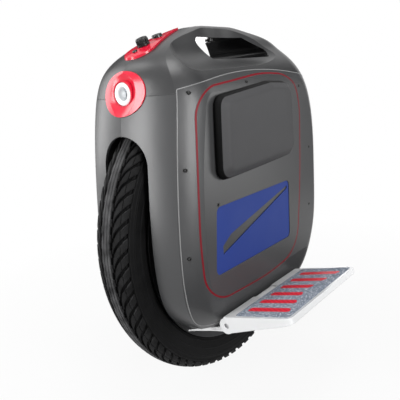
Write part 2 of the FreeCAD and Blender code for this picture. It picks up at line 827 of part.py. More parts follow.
def hanger():
    boss = rod_y(0, AXLE_Z, HANGER_BOSS_DIA, ARM_IN, ARM_OUT)
    half = HANGER_ARM_WIDTH / 2
    side = HANGER_BOSS_DIA / 2
    arm = slab(polygon([
        Vector(-side, ARM_IN, AXLE_Z), Vector(side, ARM_IN, AXLE_Z),
        Vector(HANGER_ARM_X + half, ARM_IN, FOOT_LOW), Vector(HANGER_ARM_X - half, ARM_IN, FOOT_LOW),
    ]), SIDE * HANGER_ARM)
    edge = HINGE_Y - BARREL_DIA / 2 - FOOT_GAP
    middle = (ARM_IN + edge) / 2
    front = arc(Vector(FOOT_FRONT_X, ARM_IN, FOOT_LOW),
                Vector((FOOT_FRONT_X + FOOT_TIP_FRONT_X) / 2 - FOOT_THICKNESS / 3, middle, FOOT_LOW),
                Vector(FOOT_TIP_FRONT_X, edge, FOOT_LOW))
    rear = arc(Vector(FOOT_TIP_REAR_X, edge, FOOT_LOW),
               Vector((FOOT_REAR_X + FOOT_TIP_REAR_X) / 2 + FOOT_THICKNESS / 3, middle, FOOT_LOW),
               Vector(FOOT_REAR_X, ARM_IN, FOOT_LOW))
    foot = slab(Part.Wire([
        front,
        line(Vector(FOOT_TIP_FRONT_X, edge, FOOT_LOW), Vector(FOOT_TIP_REAR_X, edge, FOOT_LOW)),
        rear,
        line(Vector(FOOT_REAR_X, ARM_IN, FOOT_LOW), Vector(FOOT_FRONT_X, ARM_IN, FOOT_LOW)),
    ]), UP * FOOT_THICKNESS)
    lean = polygon([
        Vector(FOOT_TIP_FRONT_X / 2, ARM_IN - OVERRUN, FOOT_LOW + FOOT_LIP),
        Vector(FOOT_TIP_FRONT_X / 2, ARM_IN + FOOT_TAPER, FOOT_TOP),
        Vector(FOOT_TIP_FRONT_X / 2, ARM_IN - OVERRUN, FOOT_TOP),
    ])
    rear_lean = moved(lean, x=FOOT_TIP_REAR_X - FOOT_TIP_FRONT_X / 2)
    foot = foot.cut([slab(lean, AHEAD * FAR), slab(rear_lean, AHEAD * -FAR)])
    near = PEDAL_X - KNUCKLE_WIDTH / 2
    web = slab(polygon([
        Vector(near, edge - FOOT_THICKNESS, FOOT_LOW), Vector(near, HINGE_Y, HINGE_Z - KNUCKLE_DIA / 2),
        Vector(near, HINGE_Y, HINGE_Z), Vector(near, HINGE_Y - KNUCKLE_DIA / 2, HINGE_Z),
        Vector(near, edge - FOOT_THICKNESS, FOOT_TOP),
    ]), AHEAD * KNUCKLE_WIDTH)
    knuckle = rod_x(HINGE_Y, HINGE_Z, KNUCKLE_DIA, near, near + KNUCKLE_WIDTH)
    slot = box(-CLAMP_SLOT / 2, CLAMP_SLOT / 2, ARM_IN - OVERRUN, ARM_OUT + OVERRUN,
               AXLE_Z - CLAMP_SLOT_DEPTH, AXLE_Z)
    bore = rod_x(HINGE_Y, HINGE_Z, PIN_DIA, -FAR, FAR)
    solid = boss.fuse([arm, foot, web, knuckle]).removeSplitter()
    return solid.cut([axle(), slot, bore, hanger_bolt_rods()])


def hanger_bolt_places():
    half = HANGER_BOLT_SPACING / 2
    high = AXLE_Z - CLAMP_SLOT_DEPTH - HANGER_BOLT_DIA
    low = AXLE_Z - CLAMP_SLOT_DEPTH - HANGER_BOLT_DROP
    return [(0, high), (HANGER_ARM_X - half, low), (HANGER_ARM_X + half, low)]


def hanger_bolt_rods():
    rods = [rod_y(x, z, HANGER_BOLT_DIA, ARM_IN - OVERRUN, ARM_OUT) for x, z in hanger_bolt_places()]
    return Part.makeCompound(rods)


def hanger_bolts():
    bolts = []
    for x, z in hanger_bolt_places():
        shank = rod_y(x, z, HANGER_BOLT_DIA, ARM_IN, ARM_OUT)
        head = rod_y(x, z, HANGER_BOLT_HEAD_DIA, ARM_OUT, ARM_OUT + HANGER_BOLT_HEAD)
        bolts += both_sides(shank.fuse(head).removeSplitter())
    return bolts


def hinge_pins():
    half = PEDAL_LENGTH / 2 - PIN_RECESS
    pin = rod_x(HINGE_Y, HINGE_Z, PIN_DIA, PEDAL_X - half, PEDAL_X + half)
    return both_sides(pin)


# Pedal

def tipped(shape):
    """From the pedal's own flat frame at the hinge to its open place."""
    copy = moved(shape, y=HINGE_Y, z=HINGE_Z)
    copy.rotate(Vector(0, HINGE_Y, HINGE_Z), AHEAD, PEDAL_TIP_UP)
    return copy


def folded(shape):
    """The right pedal, mirrored and folded up against the casing."""
    copy = mirrored(shape)
    copy.rotate(Vector(0, -HINGE_Y, HINGE_Z), AHEAD, -PEDAL_FOLD)
    return copy


def pedal_plan(border, inner, radius):
    half = PEDAL_LENGTH / 2 - border
    outer = PEDAL_REACH - border
    corners = [Vector(PEDAL_X - half, inner, 0), Vector(PEDAL_X + half, inner, 0),
               Vector(PEDAL_X + half, outer, 0), Vector(PEDAL_X - half, outer, 0)]
    return rounded(corners, radius)


def pedal_flat():
    half = PEDAL_LENGTH / 2
    barrel_r = BARREL_DIA / 2
    end = PEDAL_X - half
    section = slab(polygon([
        Vector(end, -PEDAL_BACK, PEDAL_TOP), Vector(end, PEDAL_REACH, PEDAL_TOP),
        Vector(end, PEDAL_REACH, PEDAL_TOP - PEDAL_EDGE),
        Vector(end, barrel_r / 2, -barrel_r * barrel_tangent_share),
        Vector(end, -PEDAL_BACK, 0),
    ]), AHEAD * PEDAL_LENGTH)
    plan = moved(slab(pedal_plan(0, -barrel_r - PEDAL_ROUND, PEDAL_ROUND), UP * FAR), z=-FAR / 2)
    barrel = rod_x(0, 0, BARREL_DIA, PEDAL_X - half, PEDAL_X + half)
    room = KNUCKLE_WIDTH / 2 + KNUCKLE_GAP
    gap = box(PEDAL_X - room, PEDAL_X + room, -BARREL_DIA, KNUCKLE_ROOM, -BARREL_DIA, BARREL_DIA)
    bore = rod_x(0, 0, PIN_DIA + 2 * RUNNING_FIT, -FAR, FAR)
    well = slab(pedal_plan(GRIP_BORDER, GRIP_INNER, GRIP_ROUND), UP * GRIP_THICKNESS)
    well = moved(well, z=PEDAL_TOP - GRIP_RECESS)
    return section.common(plan).fuse(barrel).cut([gap, bore, well])


def stripe_outlines():
    """Six stripes across the grip, longest at the ends and shortest in the middle."""
    outlines = []
    middle = (STRIPE_COUNT - 1) / 2
    for i in range(STRIPE_COUNT):
        x = PEDAL_X + (i - middle) * STRIPE_PITCH
        length = STRIPE_LONG * (1 - stripe_waist_share * (1 - abs(i - middle) / middle))
        half = STRIPE_WIDTH / 2
        lean = STRIPE_WIDTH * stripe_cut_share * (1 if i > middle else -1)
        outlines.append(rounded([
            Vector(x - half, STRIPE_INNER, 0), Vector(x + half, STRIPE_INNER, 0),
            Vector(x + half, STRIPE_INNER + length + lean / 2, 0),
            Vector(x - half, STRIPE_INNER + length - lean / 2, 0),
        ], STRIPE_ROUND))
    return outlines


def stripe_solids():
    return [moved(slab(w, UP * GRIP_THICKNESS), z=PEDAL_TOP - GRIP_RECESS) for w in stripe_outlines()]


def pedal_grip_flat():
    sheet = slab(pedal_plan(GRIP_BORDER, GRIP_INNER, GRIP_ROUND), UP * GRIP_THICKNESS)
    return moved(sheet, z=PEDAL_TOP - GRIP_RECESS).cut(stripe_solids())


# Chassis inside the casing

def inner_shell():
    inside = body(SKIN)
    plate = inside.common(box(-FAR, FAR, ARCH_HALF, SHELL_OUT, BODY_LOW, SEAM_Z + SKIN))
    floor = inside.common(box(-FAR, FAR, ARCH_HALF, BODY_HALF, BODY_LOW, BODY_LOW + FLOOR_WALL))
    half = HANGER_ARM_WIDTH / 2 + ARM_SLOT_GAP
    slot = box(HANGER_ARM_X - half, HANGER_ARM_X + half, SHELL_OUT, ARM_OUT + ARM_SLOT_GAP,
               BODY_LOW - OVERRUN, BODY_LOW + FLOOR_WALL + OVERRUN)
    hub = rod_y(0, AXLE_Z, AXLE_DIA + ARM_SLOT_GAP, ARCH_HALF - OVERRUN, SHELL_OUT + OVERRUN)
    return plate.fuse(floor).removeSplitter().cut([slot, hub])


def wheel_tunnel():
    end = math.degrees(math.acos(min(FRONT_REACH - TUNNEL_END_GAP, TUNNEL_R) / TUNNEL_OUT_R))
    profile = polygon([wheel_point(p) for p in ((-ARCH_HALF, TUNNEL_R), (ARCH_HALF, TUNNEL_R),
                                                (ARCH_HALF, TUNNEL_OUT_R), (-ARCH_HALF, TUNNEL_OUT_R))])
    sweep = TURN / 2 - 2 * end
    band = Part.Face(profile).revolve(AXLE, SIDE, sweep)
    return around_axle(band, -sweep / 2)


def battery(x0, x1):
    pack = box(x0, x1, SHELL_OUT, BATTERY_OUT, AXLE_Z - BATTERY_LOW, AXLE_Z + BATTERY_HIGH)
    return pack.makeFillet(BATTERY_ROUND, pack.Edges)


def heatsink():
    low = AXLE_Z + SINK_LOW
    half = SINK_WIDTH / 2
    root = SHELL_OUT + SINK_DEPTH - SINK_BASE
    base = box(-half, half, root, root + SINK_BASE, low, low + SINK_HEIGHT)
    pitch = (SINK_WIDTH - SINK_FIN) / (SINK_FIN_COUNT - 1)
    fins = []
    for i in range(SINK_FIN_COUNT):
        x = -half + i * pitch
        fins.append(box(x, x + SINK_FIN, SHELL_OUT, root, low, low + SINK_HEIGHT))
    return base.fuse(fins).removeSplitter()


def control_board():
    low = AXLE_Z + SINK_LOW
    half = SINK_WIDTH / 2 - BOARD_MARGIN
    back = SHELL_OUT + SINK_DEPTH
    board = box(-half, half, back, back + BOARD_THICKNESS,
                low + BOARD_MARGIN, low + SINK_HEIGHT - BOARD_MARGIN)
    plug = CONNECTOR_WIDTH / 2
    socket = box(-plug, plug, back + BOARD_THICKNESS, back + BOARD_THICKNESS + CONNECTOR_REACH,
                 low + BOARD_MARGIN, low + BOARD_MARGIN + CONNECTOR_HEIGHT)
    return board.fuse(socket).removeSplitter()


def motor_cable():
    """Phase leads from the hollow axle end, bent up to the board's connector."""
    start = Vector(0, AXLE_END, AXLE_Z)
    turn_in = Vector(0, AXLE_END + CABLE_STUB, AXLE_Z)
    centre = turn_in + UP * CABLE_BEND
    turn_out = centre + SIDE * CABLE_BEND
    diagonal = math.sqrt(0.5) * CABLE_BEND
    middle = centre + SIDE * diagonal - UP * diagonal
    end = Vector(0, turn_out.y, AXLE_Z + SINK_LOW + BOARD_MARGIN)
    path = Part.Wire([line(start, turn_in), arc(turn_in, middle, turn_out), line(turn_out, end)])
    ring = Part.Wire(Part.makeCircle(CABLE_DIA / 2, start, SIDE))
    return path.makePipeShell([ring], True, False)


def fan_centre():
    return AXLE_Z + FAN_RISE


def fan_frame():
    z = fan_centre()
    half = FAN_SIZE / 2
    back = SHELL_OUT + FAN_BACK
    block = box(-half, half, SHELL_OUT, SHELL_OUT + FAN_DEPTH, z - half, z + half)
    bore = rod_y(0, z, FAN_BORE_DIA, SHELL_OUT - OVERRUN, SHELL_OUT + FAN_DEPTH + OVERRUN)
    hub = rod_y(0, z, FAN_HUB_DIA, SHELL_OUT, back)
    post = rod_y(0, z, FAN_POST_DIA, SHELL_OUT, SHELL_OUT + FAN_DEPTH - FAN_BACK)
    spoke = box(-FAN_SPOKE / 2, FAN_SPOKE / 2, SHELL_OUT, back, z, z + FAN_BORE_DIA / 2 + FAN_SPOKE / 2)
    spokes = []
    for i in range(3):
        copy = spoke.copy()
        copy.rotate(Vector(0, 0, z), SIDE, i * TURN / 3)
        spokes.append(copy)
    return block.cut(bore).fuse([hub, post] + spokes).removeSplitter()


def fan_rotor():
    z = fan_centre()
    low = SHELL_OUT + FAN_BACK + BUTTON_GAP
    high = SHELL_OUT + FAN_DEPTH - BUTTON_GAP
    hub = rod_y(0, z, FAN_HUB_DIA, low, high)
    tip = FAN_BORE_DIA / 2 - FAN_TIP_GAP
    blade = box(-FAN_BLADE / 2, FAN_BLADE / 2, low - OVERRUN, high + OVERRUN, z, z + FAN_BORE_DIA)
    blade.rotate(Vector(0, (low + high) / 2, z), UP, FAN_PITCH)
    blade = blade.common(rod_y(0, z, 2 * tip, low, high))
    blades = []
    for i in range(FAN_BLADES):
        copy = blade.copy()
        copy.rotate(Vector(0, 0, z), SIDE, i * TURN / FAN_BLADES)
        blades.append(copy)
    bore = rod_y(0, z, FAN_POST_DIA + 2 * RUNNING_FIT, low - OVERRUN, high - FAN_BACK + BUTTON_GAP)
    return hub.fuse(blades).removeSplitter().cut(bore)


def speaker():
    z = AXLE_Z + SPEAKER_RISE
    can = rod_y(0, z, SPEAKER_DIA, -SHELL_OUT - SPEAKER_DEPTH, -SHELL_OUT)
    cone = Part.makeCone(SPEAKER_CONE_DIA / 2, SPEAKER_CONE_DIA / 4, SPEAKER_CONE_DEPTH,
                         Vector(0, -SHELL_OUT - SPEAKER_DEPTH, z), SIDE)
    return can.cut(cone)


# Casing pieces

def skin():
    if "skin" not in forms:
        forms["skin"] = body(0).cut(body(SKIN))
    return forms["skin"]


def lamp_hole():
    return rod_x(0, LAMP_Z, LAMP_RING_DIA, 0, FAR)


def bezel_oval():
    """Oval prism in the headlight's direction."""
    centre = Vector(0, 0, LAMP_Z)
    curve = Part.Ellipse(centre + SIDE * (BEZEL_WIDTH / 2), centre + UP * (BEZEL_HEIGHT / 2), centre)
    return slab(Part.Wire(curve.toShape()), AHEAD * FAR)


def bezel_room():
    """Seat of the headlight in the nose, open to the front."""
    return moved(bezel_oval(), x=nose_x(LAMP_Z) - BEZEL_DEPTH)


def lamp_face():
    """Front of the lamp ring, standing up from the middle of the dish."""
    return nose_x(LAMP_Z) + BEZEL_RISE - DISH_DEPTH + LAMP_RING_PROUD


def headlight_bezel():
    """Glossy oval set into the nose: a shallow dish with a collar for the lamp."""
    step = BEZEL_HEIGHT / 4
    lean = nose_x(LAMP_Z - step) - nose_x(LAMP_Z + step)
    way = Vector(2 * step, 0, lean).normalize()
    top = Vector(nose_x(LAMP_Z) + BEZEL_RISE, 0, LAMP_Z)
    cap = body(-BEZEL_RISE).common(bezel_room())
    dish = Part.makeSphere(DISH_RADIUS, top + way * (DISH_RADIUS - DISH_DEPTH))
    collar = rod_x(0, LAMP_Z, LAMP_RING_DIA + 2 * LAMP_COLLAR, nose_x(LAMP_Z) - LAMP_DEPTH,
                   lamp_face() - LENS_RECESS / 2)
    return cap.cut(dish).fuse(collar).cut(lamp_hole())


def headlight_ring():
    front = lamp_face()
    back = nose_x(LAMP_Z) - LAMP_DEPTH
    tube = rod_x(0, LAMP_Z, LAMP_RING_DIA, back, front)
    return tube.cut(rod_x(0, LAMP_Z, LAMP_RING_DIA - 2 * LAMP_RING_WALL, back - OVERRUN, front + OVERRUN))


def headlight_lens():
    front = lamp_face() - LENS_RECESS
    dia = LAMP_RING_DIA - 2 * LAMP_RING_WALL
    bulb = rod_x(0, LAMP_Z, dia, front - LENS_THICKNESS, front)
    dome = Part.makeSphere(dia, Vector(front - dia + LENS_RECESS / 2, 0, LAMP_Z))
    return bulb.common(dome)


def tail_light():
    z = LAMP_Z - TAIL_DROP
    half = TAIL_WIDTH / 2
    tall = TAIL_HEIGHT / 2
    outline = rounded([Vector(0, -half, z - tall), Vector(0, half, z - tall),
                       Vector(0, half, z + tall), Vector(0, -half, z + tall)], tall * tail_round_share)
    return body(-TAIL_THICKNESS).common(slab(outline, AHEAD * -FAR)).cut(body(0))


def pod_axis(x):
    """Seat on the front slope at x: the surface point and the way straight out of it."""
    step = POD_PLATE
    fall = crown_z(x - step) - crown_z(x + step)
    return Vector(x, 0, crown_z(x)), Vector(fall, 0, 2 * step).normalize()


def pod_rod(x, dia, low, high):
    seat, way = pod_axis(x)
    return Part.makeCylinder(dia / 2, high - low, seat + way * low, way)


def control_plate():
    nose = Vector(POD_NOSE_X, 0, 0)
    lean = math.asin(POD_HALF_WIDTH / (POD_NOSE_X - POD_TAIL_X))
    touch = Vector(-math.sin(lean), math.cos(lean), 0) * POD_HALF_WIDTH
    left = nose + touch
    right = nose + Vector(touch.x, -touch.y, 0)
    tail = Vector(POD_TAIL_X, 0, 0)
    outline = Part.Wire([
        arc(left, nose + AHEAD * POD_HALF_WIDTH, right),
        line(right, tail),
        line(tail, left),
    ])
    prism = moved(slab(outline, UP * FAR), z=SEAM_Z)
    plate = body(-POD_PLATE).common(prism).cut(body(0))
    holes = [pod_rod(CAP_X, SOCKET_DIA, -SOCKET_DEPTH, SOCKET_PROUD),
             pod_rod(POWER_X, POWER_DIA + 2 * RUNNING_FIT, -POWER_DEPTH, POWER_DEPTH),
             pod_rod(LIGHT_X, LIGHT_DIA + 2 * RUNNING_FIT, -LIGHT_DEPTH, LIGHT_DEPTH)]
    return plate.cut(holes)


def charge_socket():
    return pod_rod(CAP_X, SOCKET_DIA, -SOCKET_DEPTH, SOCKET_PROUD)


def charge_cap():
    low = POD_PLATE + BUTTON_GAP
    shell = pod_rod(CAP_X, CAP_DIA, low, low + CAP_HEIGHT)
    hollow = pod_rod(CAP_X, SOCKET_DIA + 2 * RUNNING_FIT, low - OVERRUN, SOCKET_PROUD + BUTTON_GAP)
    return shell.cut(hollow)


def power_button():
    return pod_rod(POWER_X, POWER_DIA, -POWER_DEPTH / 2, POD_PLATE + POWER_PROUD)


def light_button():
    return pod_rod(LIGHT_X, LIGHT_DIA, -LIGHT_DEPTH / 2, POD_PLATE + LIGHT_PROUD)


def cutoff_button():
    foot = Vector(HANDLE_X, 0, HANDLE_ROOF - CUTOFF_PROUD)
    return Part.makeCylinder(CUTOFF_DIA / 2, CUTOFF_PROUD + CUTOFF_DEPTH, foot, UP)


def scoop_section(x, spread):
    """Hand room at x: a steep wall beside the grip that sweeps out into a ledge."""
    roof = BODY_TOP + HANDLE_GAP
    lift = SCOOP_LIFT * spread ** 2
    out = BODY_HALF + OVERRUN
    wall = SCOOP_SPREAD * spread
    fall = SCOOP_DROP + (x - HANDLE_X) * scoop_slope_share
    poles = [
        Vector(x, WEB_HALF * 2 / 3 + wall, roof),
        Vector(x, WEB_HALF + wall, HANDLE_FLOOR + lift),
        Vector(x, WEB_HALF + SCOOP_LIP + wall, HANDLE_FLOOR - SCOOP_LIP + lift),
        Vector(x, out, HANDLE_FLOOR - fall + lift),
    ]
    curve = Part.BezierCurve()
    curve.setPoles(poles)
    corner = Vector(x, out, roof)
    return Part.Wire([curve.toShape(), line(poles[-1], corner), line(corner, poles[0])])


def scoop():
    """Almond hollow beside the handle, deepest at the grip and running out at both ends."""
    front = SCOOP_FRONT_X - HANDLE_X
    rear = SCOOP_REAR_X - HANDLE_X
    stations = [(HANDLE_X + rear * along, spread) for along, spread in scoop_rear_shares]
    stations += [(HANDLE_X + front * along, spread) for along, spread in scoop_front_shares]
    return Part.makeLoft([scoop_section(x, spread) for x, spread in stations], True, False)


def handle_hole():
    y = -FAR / 2
    corners = [Vector(HANDLE_REAR_X, y, HANDLE_FLOOR),
               Vector(HANDLE_FRONT_X - HANDLE_FRONT_LEAN, y, HANDLE_FLOOR),
               Vector(HANDLE_FRONT_X, y, HANDLE_ROOF),
               Vector(HANDLE_REAR_X + HANDLE_REAR_LEAN, y, HANDLE_ROOF)]
    return slab(rounded(corners, HANDLE_GAP * handle_round_share), SIDE * FAR)


def top_shell():
    block = body(0).common(box(-FAR, FAR, -FAR, FAR, SEAM_Z + SEAM / 2, FAR))
    low_room = body(SKIN).common(box(-FAR, FAR, -FAR, FAR, -FAR, SEAM_Z + SKIN * 3))
    tunnel_room = rod_y(0, AXLE_Z, 2 * TUNNEL_OUT_R, -SHELL_OUT - SEAM, SHELL_OUT + SEAM)
    pocket = body(POD_WALL).common(box(POD_TAIL_X + POD_POCKET_DEPTH / 2, FAR,
                                       -POD_POCKET_HALF, POD_POCKET_HALF, SEAM_Z, FAR))
    spare = CUTOFF_DEPTH + CUTOFF_TRAVEL + CUTOFF_SPARE
    cutoff = Part.makeCylinder(CUTOFF_DIA / 2 + RUNNING_FIT, spare, Vector(HANDLE_X, 0, HANDLE_ROOF), UP)
    cuts = [low_room, tunnel_room, pocket, cutoff, handle_hole(), scoop(), mirrored(scoop()),
            panel_room(), mirrored(panel_room()), bezel_room()]
    cuts += [pod_rod(CAP_X, SOCKET_DIA, -SOCKET_DEPTH, SOCKET_PROUD),
             pod_rod(POWER_X, POWER_DIA + 2 * RUNNING_FIT, -POWER_DEPTH, POWER_DEPTH),
             pod_rod(LIGHT_X, LIGHT_DIA + 2 * RUNNING_FIT, -LIGHT_DEPTH, LIGHT_DEPTH)]
    return block.cut(cuts)


def knuckle_room():
    """Notch in the casing's lower edge round the hanger's web."""
    half = KNUCKLE_WIDTH / 2 + FOOT_GAP
    inner = HINGE_Y - BARREL_DIA / 2 - FOOT_THICKNESS - 2 * FOOT_GAP
    return box(PEDAL_X - half, PEDAL_X + half, inner, FAR, BODY_LOW - OVERRUN, FOOT_TOP + FOOT_THICKNESS)


def fascia(front):
    """The end of the casing, from the tyre arch round to the side panels."""
    below = SEAM_Z - SEAM / 2
    middle = HANGER_ARM_X
    if front:
        end = box(middle + SEAM / 2, FAR, -FAR, FAR, BODY_LOW, below)
        reach, ahead = FRONT_REACH, 1
    else:
        end = box(-FAR, middle - SEAM / 2, -FAR, FAR, BODY_LOW, below)
        reach, ahead = REAR_REACH, -1
    solid = skin().common(end)
    return solid.cut([arch_cut(reach, ahead), panel_room(), mirrored(panel_room()), bezel_room(),
                      knuckle_room(), mirrored(knuckle_room())])


def side_panel():
    plate = skin().common(panel_prism())
    depth = WINDOW_RECESS + WINDOW_THICKNESS
    window_room = moved(slab(window_wire(), SIDE * FAR), y=BODY_HALF - depth)
    line_room = strip_prism().cut(body(STRIP_DEPTH))
    return plate.cut([window_room, line_room, screw_rods()])


def light_strips():
    strip = strip_prism().common(body(0)).cut(body(STRIP_DEPTH))
    return both_sides(strip)


def panel_screws():
    heads = screw_rods().common(body(-PANEL_SCREW_PROUD)).cut(body(PANEL_SCREW_DEPTH))
    left = heads.Solids
    return left + [mirrored(s) for s in left]


def window():
    low = flank_point(window_front_shares[0])
    high = tail_point(window_rear_shares[0])
    front = BODY_HALF - WINDOW_RECESS
    sheet = moved(slab(window_wire(), SIDE * WINDOW_THICKNESS), y=front - WINDOW_THICKNESS)
    corners = []
    for along, up in groove_low_shares + groove_high_shares:
        x = low.x + (high.x - low.x) * along
        z = low.z + (high.z - low.z) * up
        corners.append(Vector(x, 0, z))
    return sheet.cut(slab(polygon(corners), SIDE * FAR))


def knee_pad():
    """Moulded foam pad: upright wall with a little draft, wide chamfer and a shallow crown."""
    rings = []
    for height, inset in ((-PAD_SINK, 0), (PAD_WALL, PAD_DRAFT), (PAD_HEIGHT, PAD_DRAFT + PAD_CHAMFER),
                          (PAD_HEIGHT + PAD_CROWN, PAD_DRAFT + PAD_CHAMFER + PAD_CROWN_INSET)):
        rings.append(moved(grown(pad_wire(), -inset), y=PAD_FOOT + height))
    return Part.makeLoft(rings, True, True).cut(body(0))


def main():
    os.makedirs("parts", exist_ok=True)
    save("tyre", tyre())
    save("inner_tube", inner_tube())
    save("rim", rim())
    save("magnet_ring", magnet_ring())
    cover = motor_cover()
    save("motor_cover_left", cover)
    save("motor_cover_right", mirrored(cover))
    save("cover_screws", cover_screws())
    save("bearings", bearings())
    save("valve_stem", valve_stem())

    save("axle", axle())
    save("stator_core", stator_core())
    save("stator_winding", stator_winding())
    save("axle_nuts", axle_nuts())
    arm = hanger()
    save("hanger_left", arm)
    save("hanger_right", mirrored(arm))
    save("hanger_bolts", hanger_bolts())
    save("hinge_pins", hinge_pins())

    plate = inner_shell()
    save("inner_shell_left", plate)
    save("inner_shell_right", mirrored(plate))
    save("wheel_tunnel", wheel_tunnel())
    front_pack = battery(BATTERY_MIDDLE, BATTERY_FRONT_X)
    rear_pack = battery(BATTERY_REAR_X, -BATTERY_MIDDLE)
    save("battery_front_left", front_pack)
    save("battery_front_right", mirrored(front_pack))
    save("battery_rear_left", rear_pack)
    save("battery_rear_right", mirrored(rear_pack))
    save("heatsink", heatsink())
    save("control_board", control_board())
    save("motor_cable", motor_cable())
    save("fan_frame", fan_frame())
    save("fan_rotor", fan_rotor())
    save("speaker", speaker())

    save("top_shell", top_shell())
    save("front_fascia", fascia(True))
    save("rear_fascia", fascia(False))
    panel = side_panel()
    save("side_panel_left", panel)
    save("side_panel_right", mirrored(panel))
    save("light_strips", light_strips())
    save("panel_screws", panel_screws())
    pane = window()
    save("window_left", pane)
    save("window_right", mirrored(pane))
    pad = knee_pad()
    save("knee_pad_left", pad)
    save("knee_pad_right", mirrored(pad))
    save("headlight_bezel", headlight_bezel())
    save("headlight_ring", headlight_ring())
    save("headlight_lens", headlight_lens())
    save("tail_light", tail_light())
    save("control_plate", control_plate())
    save("charge_socket", charge_socket())
    save("charge_cap", charge_cap())
    save("power_button", power_button())
    save("light_button", light_button())
    save("cutoff_button", cutoff_button())

    tread = tipped(pedal_flat())
    grip = tipped(pedal_grip_flat())
    stripes = [tipped(s) for s in stripe_solids()]
    save("pedal_left", tread)
    save("pedal_right", folded(tread))
    save("pedal_grip_left", grip)
    save("pedal_grip_right", folded(grip))
    save("pedal_stripes_left", stripes)
    save("pedal_stripes_right", [folded(s) for s in stripes])


main()
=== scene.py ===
"""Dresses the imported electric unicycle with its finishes, tread, pads and fasteners, in a white studio."""

import json
import math

import bmesh
import bpy
import numpy as np
from bpy.props import FloatProperty, FloatVectorProperty, IntProperty, PointerProperty
from mathutils import Matrix, Vector
from mathutils.bvhtree import BVHTree


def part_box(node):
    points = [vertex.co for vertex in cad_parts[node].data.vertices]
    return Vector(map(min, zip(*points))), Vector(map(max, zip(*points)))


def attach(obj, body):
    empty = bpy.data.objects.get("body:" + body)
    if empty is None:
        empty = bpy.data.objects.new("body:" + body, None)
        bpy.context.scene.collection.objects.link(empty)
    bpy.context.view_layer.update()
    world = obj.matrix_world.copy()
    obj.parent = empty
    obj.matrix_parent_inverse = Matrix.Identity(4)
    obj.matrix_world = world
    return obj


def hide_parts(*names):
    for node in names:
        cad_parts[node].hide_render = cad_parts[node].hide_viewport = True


bl_info = {
    "name": "Electric Unicycle Dressing",
    "version": (1, 0, 0),
    "blender": (4, 5, 0),
    "location": "View3D > Sidebar > Unicycle",
    "description": "Gives the electric unicycle its finishes, tread, pads, fasteners and studio",
    "category": "Object",
}

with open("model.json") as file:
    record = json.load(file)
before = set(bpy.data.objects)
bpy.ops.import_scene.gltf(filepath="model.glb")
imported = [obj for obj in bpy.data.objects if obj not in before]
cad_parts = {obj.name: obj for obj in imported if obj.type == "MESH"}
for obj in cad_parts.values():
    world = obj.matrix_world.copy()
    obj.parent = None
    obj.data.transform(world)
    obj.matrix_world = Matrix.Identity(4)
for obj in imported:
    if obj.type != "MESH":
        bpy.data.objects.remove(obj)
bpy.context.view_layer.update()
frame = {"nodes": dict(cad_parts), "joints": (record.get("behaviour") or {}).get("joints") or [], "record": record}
NODES = frame["nodes"]

MM = 0.001
FULL_TURN = 2 * math.pi
WELD = 2e-6
BEAD_SIDES = 8
RAY_START = 0.1
SIDES = (("left", 1), ("right", -1))
LEFTWARD = Vector((0, 1, 0))
FORWARD = Vector((1, 0, 0))
UPWARD = Vector((0, 0, 1))


# Settings a user would change

def size(name, default, description):
    return FloatProperty(name=name, default=default, description=description, unit="LENGTH", precision=5)


def angle(name, degrees, description):
    return FloatProperty(name=name, default=math.radians(degrees), description=description, subtype="ANGLE")


def paint(name, default, description):
    return FloatVectorProperty(name=name, default=default, description=description,
                               subtype="COLOR", size=3, min=0.0, max=1.0)


class TyreSettings(bpy.types.PropertyGroup):
    rubber: paint("Rubber", (0.003, 0.003, 0.0032), "Colour of clean rubber in the grooves")
    # This worn colour also paints the highlight along the lugs' edges
    worn: paint("Worn rubber", (0.085, 0.085, 0.087), "Colour of the worn tops of the tread")
    lug_count: IntProperty(name="Lugs", default=72, description="Fins on each side of the tyre")
    tread_depth: size("Tread depth", 4.0 * MM, "Height of the lugs above the carcass")
    shoulder_half: size("Shoulder", 27.5 * MM, "Half the width between the tread's shoulders")
    shoulder_drop: size("Shoulder drop", 8.8 * MM, "How far the shoulders lie below the crown")
    rib_half: size("Rib", 7.4 * MM, "Half the width of the centre rib")
    rib_line: size("Rib line", 3.0 * MM, "Distance of each fine groove from the rib's middle")
    rib_notch: size("Rib notch", 2.2 * MM, "How far the teeth of the rib stand out beside it")
    fin_start: size("Fin start", 12.0 * MM, "Distance of a fin's tip from the middle of the tread")
    fin_end: size("Fin end", 23.4 * MM, "Distance of a fin's outer end from the middle of the tread")
    block_start: size("Block start", 24.0 * MM, "Distance of a shoulder block from the middle of the tread")
    block_end: size("Block end", 35.0 * MM, "Distance along the tread to where the shoulder blocks end")
    fin_sweep: size("Fin sweep", 30.0 * MM, "How far a fin sweeps back on its way to the shoulder")
    slot: size("Slot", 7.4 * MM, "Width of the slot between two fins")
    dot_start: size("Dots", 36.5 * MM, "Distance along the tread to the dotted ridge")


class CasingSettings(bpy.types.PropertyGroup):
    grey: paint("Casing grey", (0.041, 0.0415, 0.043), "Satin paint of the moulded casing")
    scuffed: paint("Scuffed grey", (0.060, 0.0605, 0.0625), "Paint where hands and shoes have rubbed it")
    red: paint("Red", (0.58, 0.006, 0.030), "Gloss red of the trim")
    window: paint("Window blue", (0.019, 0.040, 0.190), "Tinted window in the side panels")
    edge_bead: size("Edge bead", 0.8 * MM, "Radius of the rolled edge round a side panel")
    seam_bead: size("Seam bead", 0.6 * MM, "Radius of the lip that closes the nose's seam")


class PadSettings(bpy.types.PropertyGroup):
    skin: paint("Pad skin", (0.044, 0.044, 0.046), "Skin of the moulded foam")
    wall: paint("Pad wall", (0.004, 0.004, 0.0042), "Rubber wall round the foam")
    corner: size("Corner", 18.0 * MM, "Corner radius of the pad's outline")


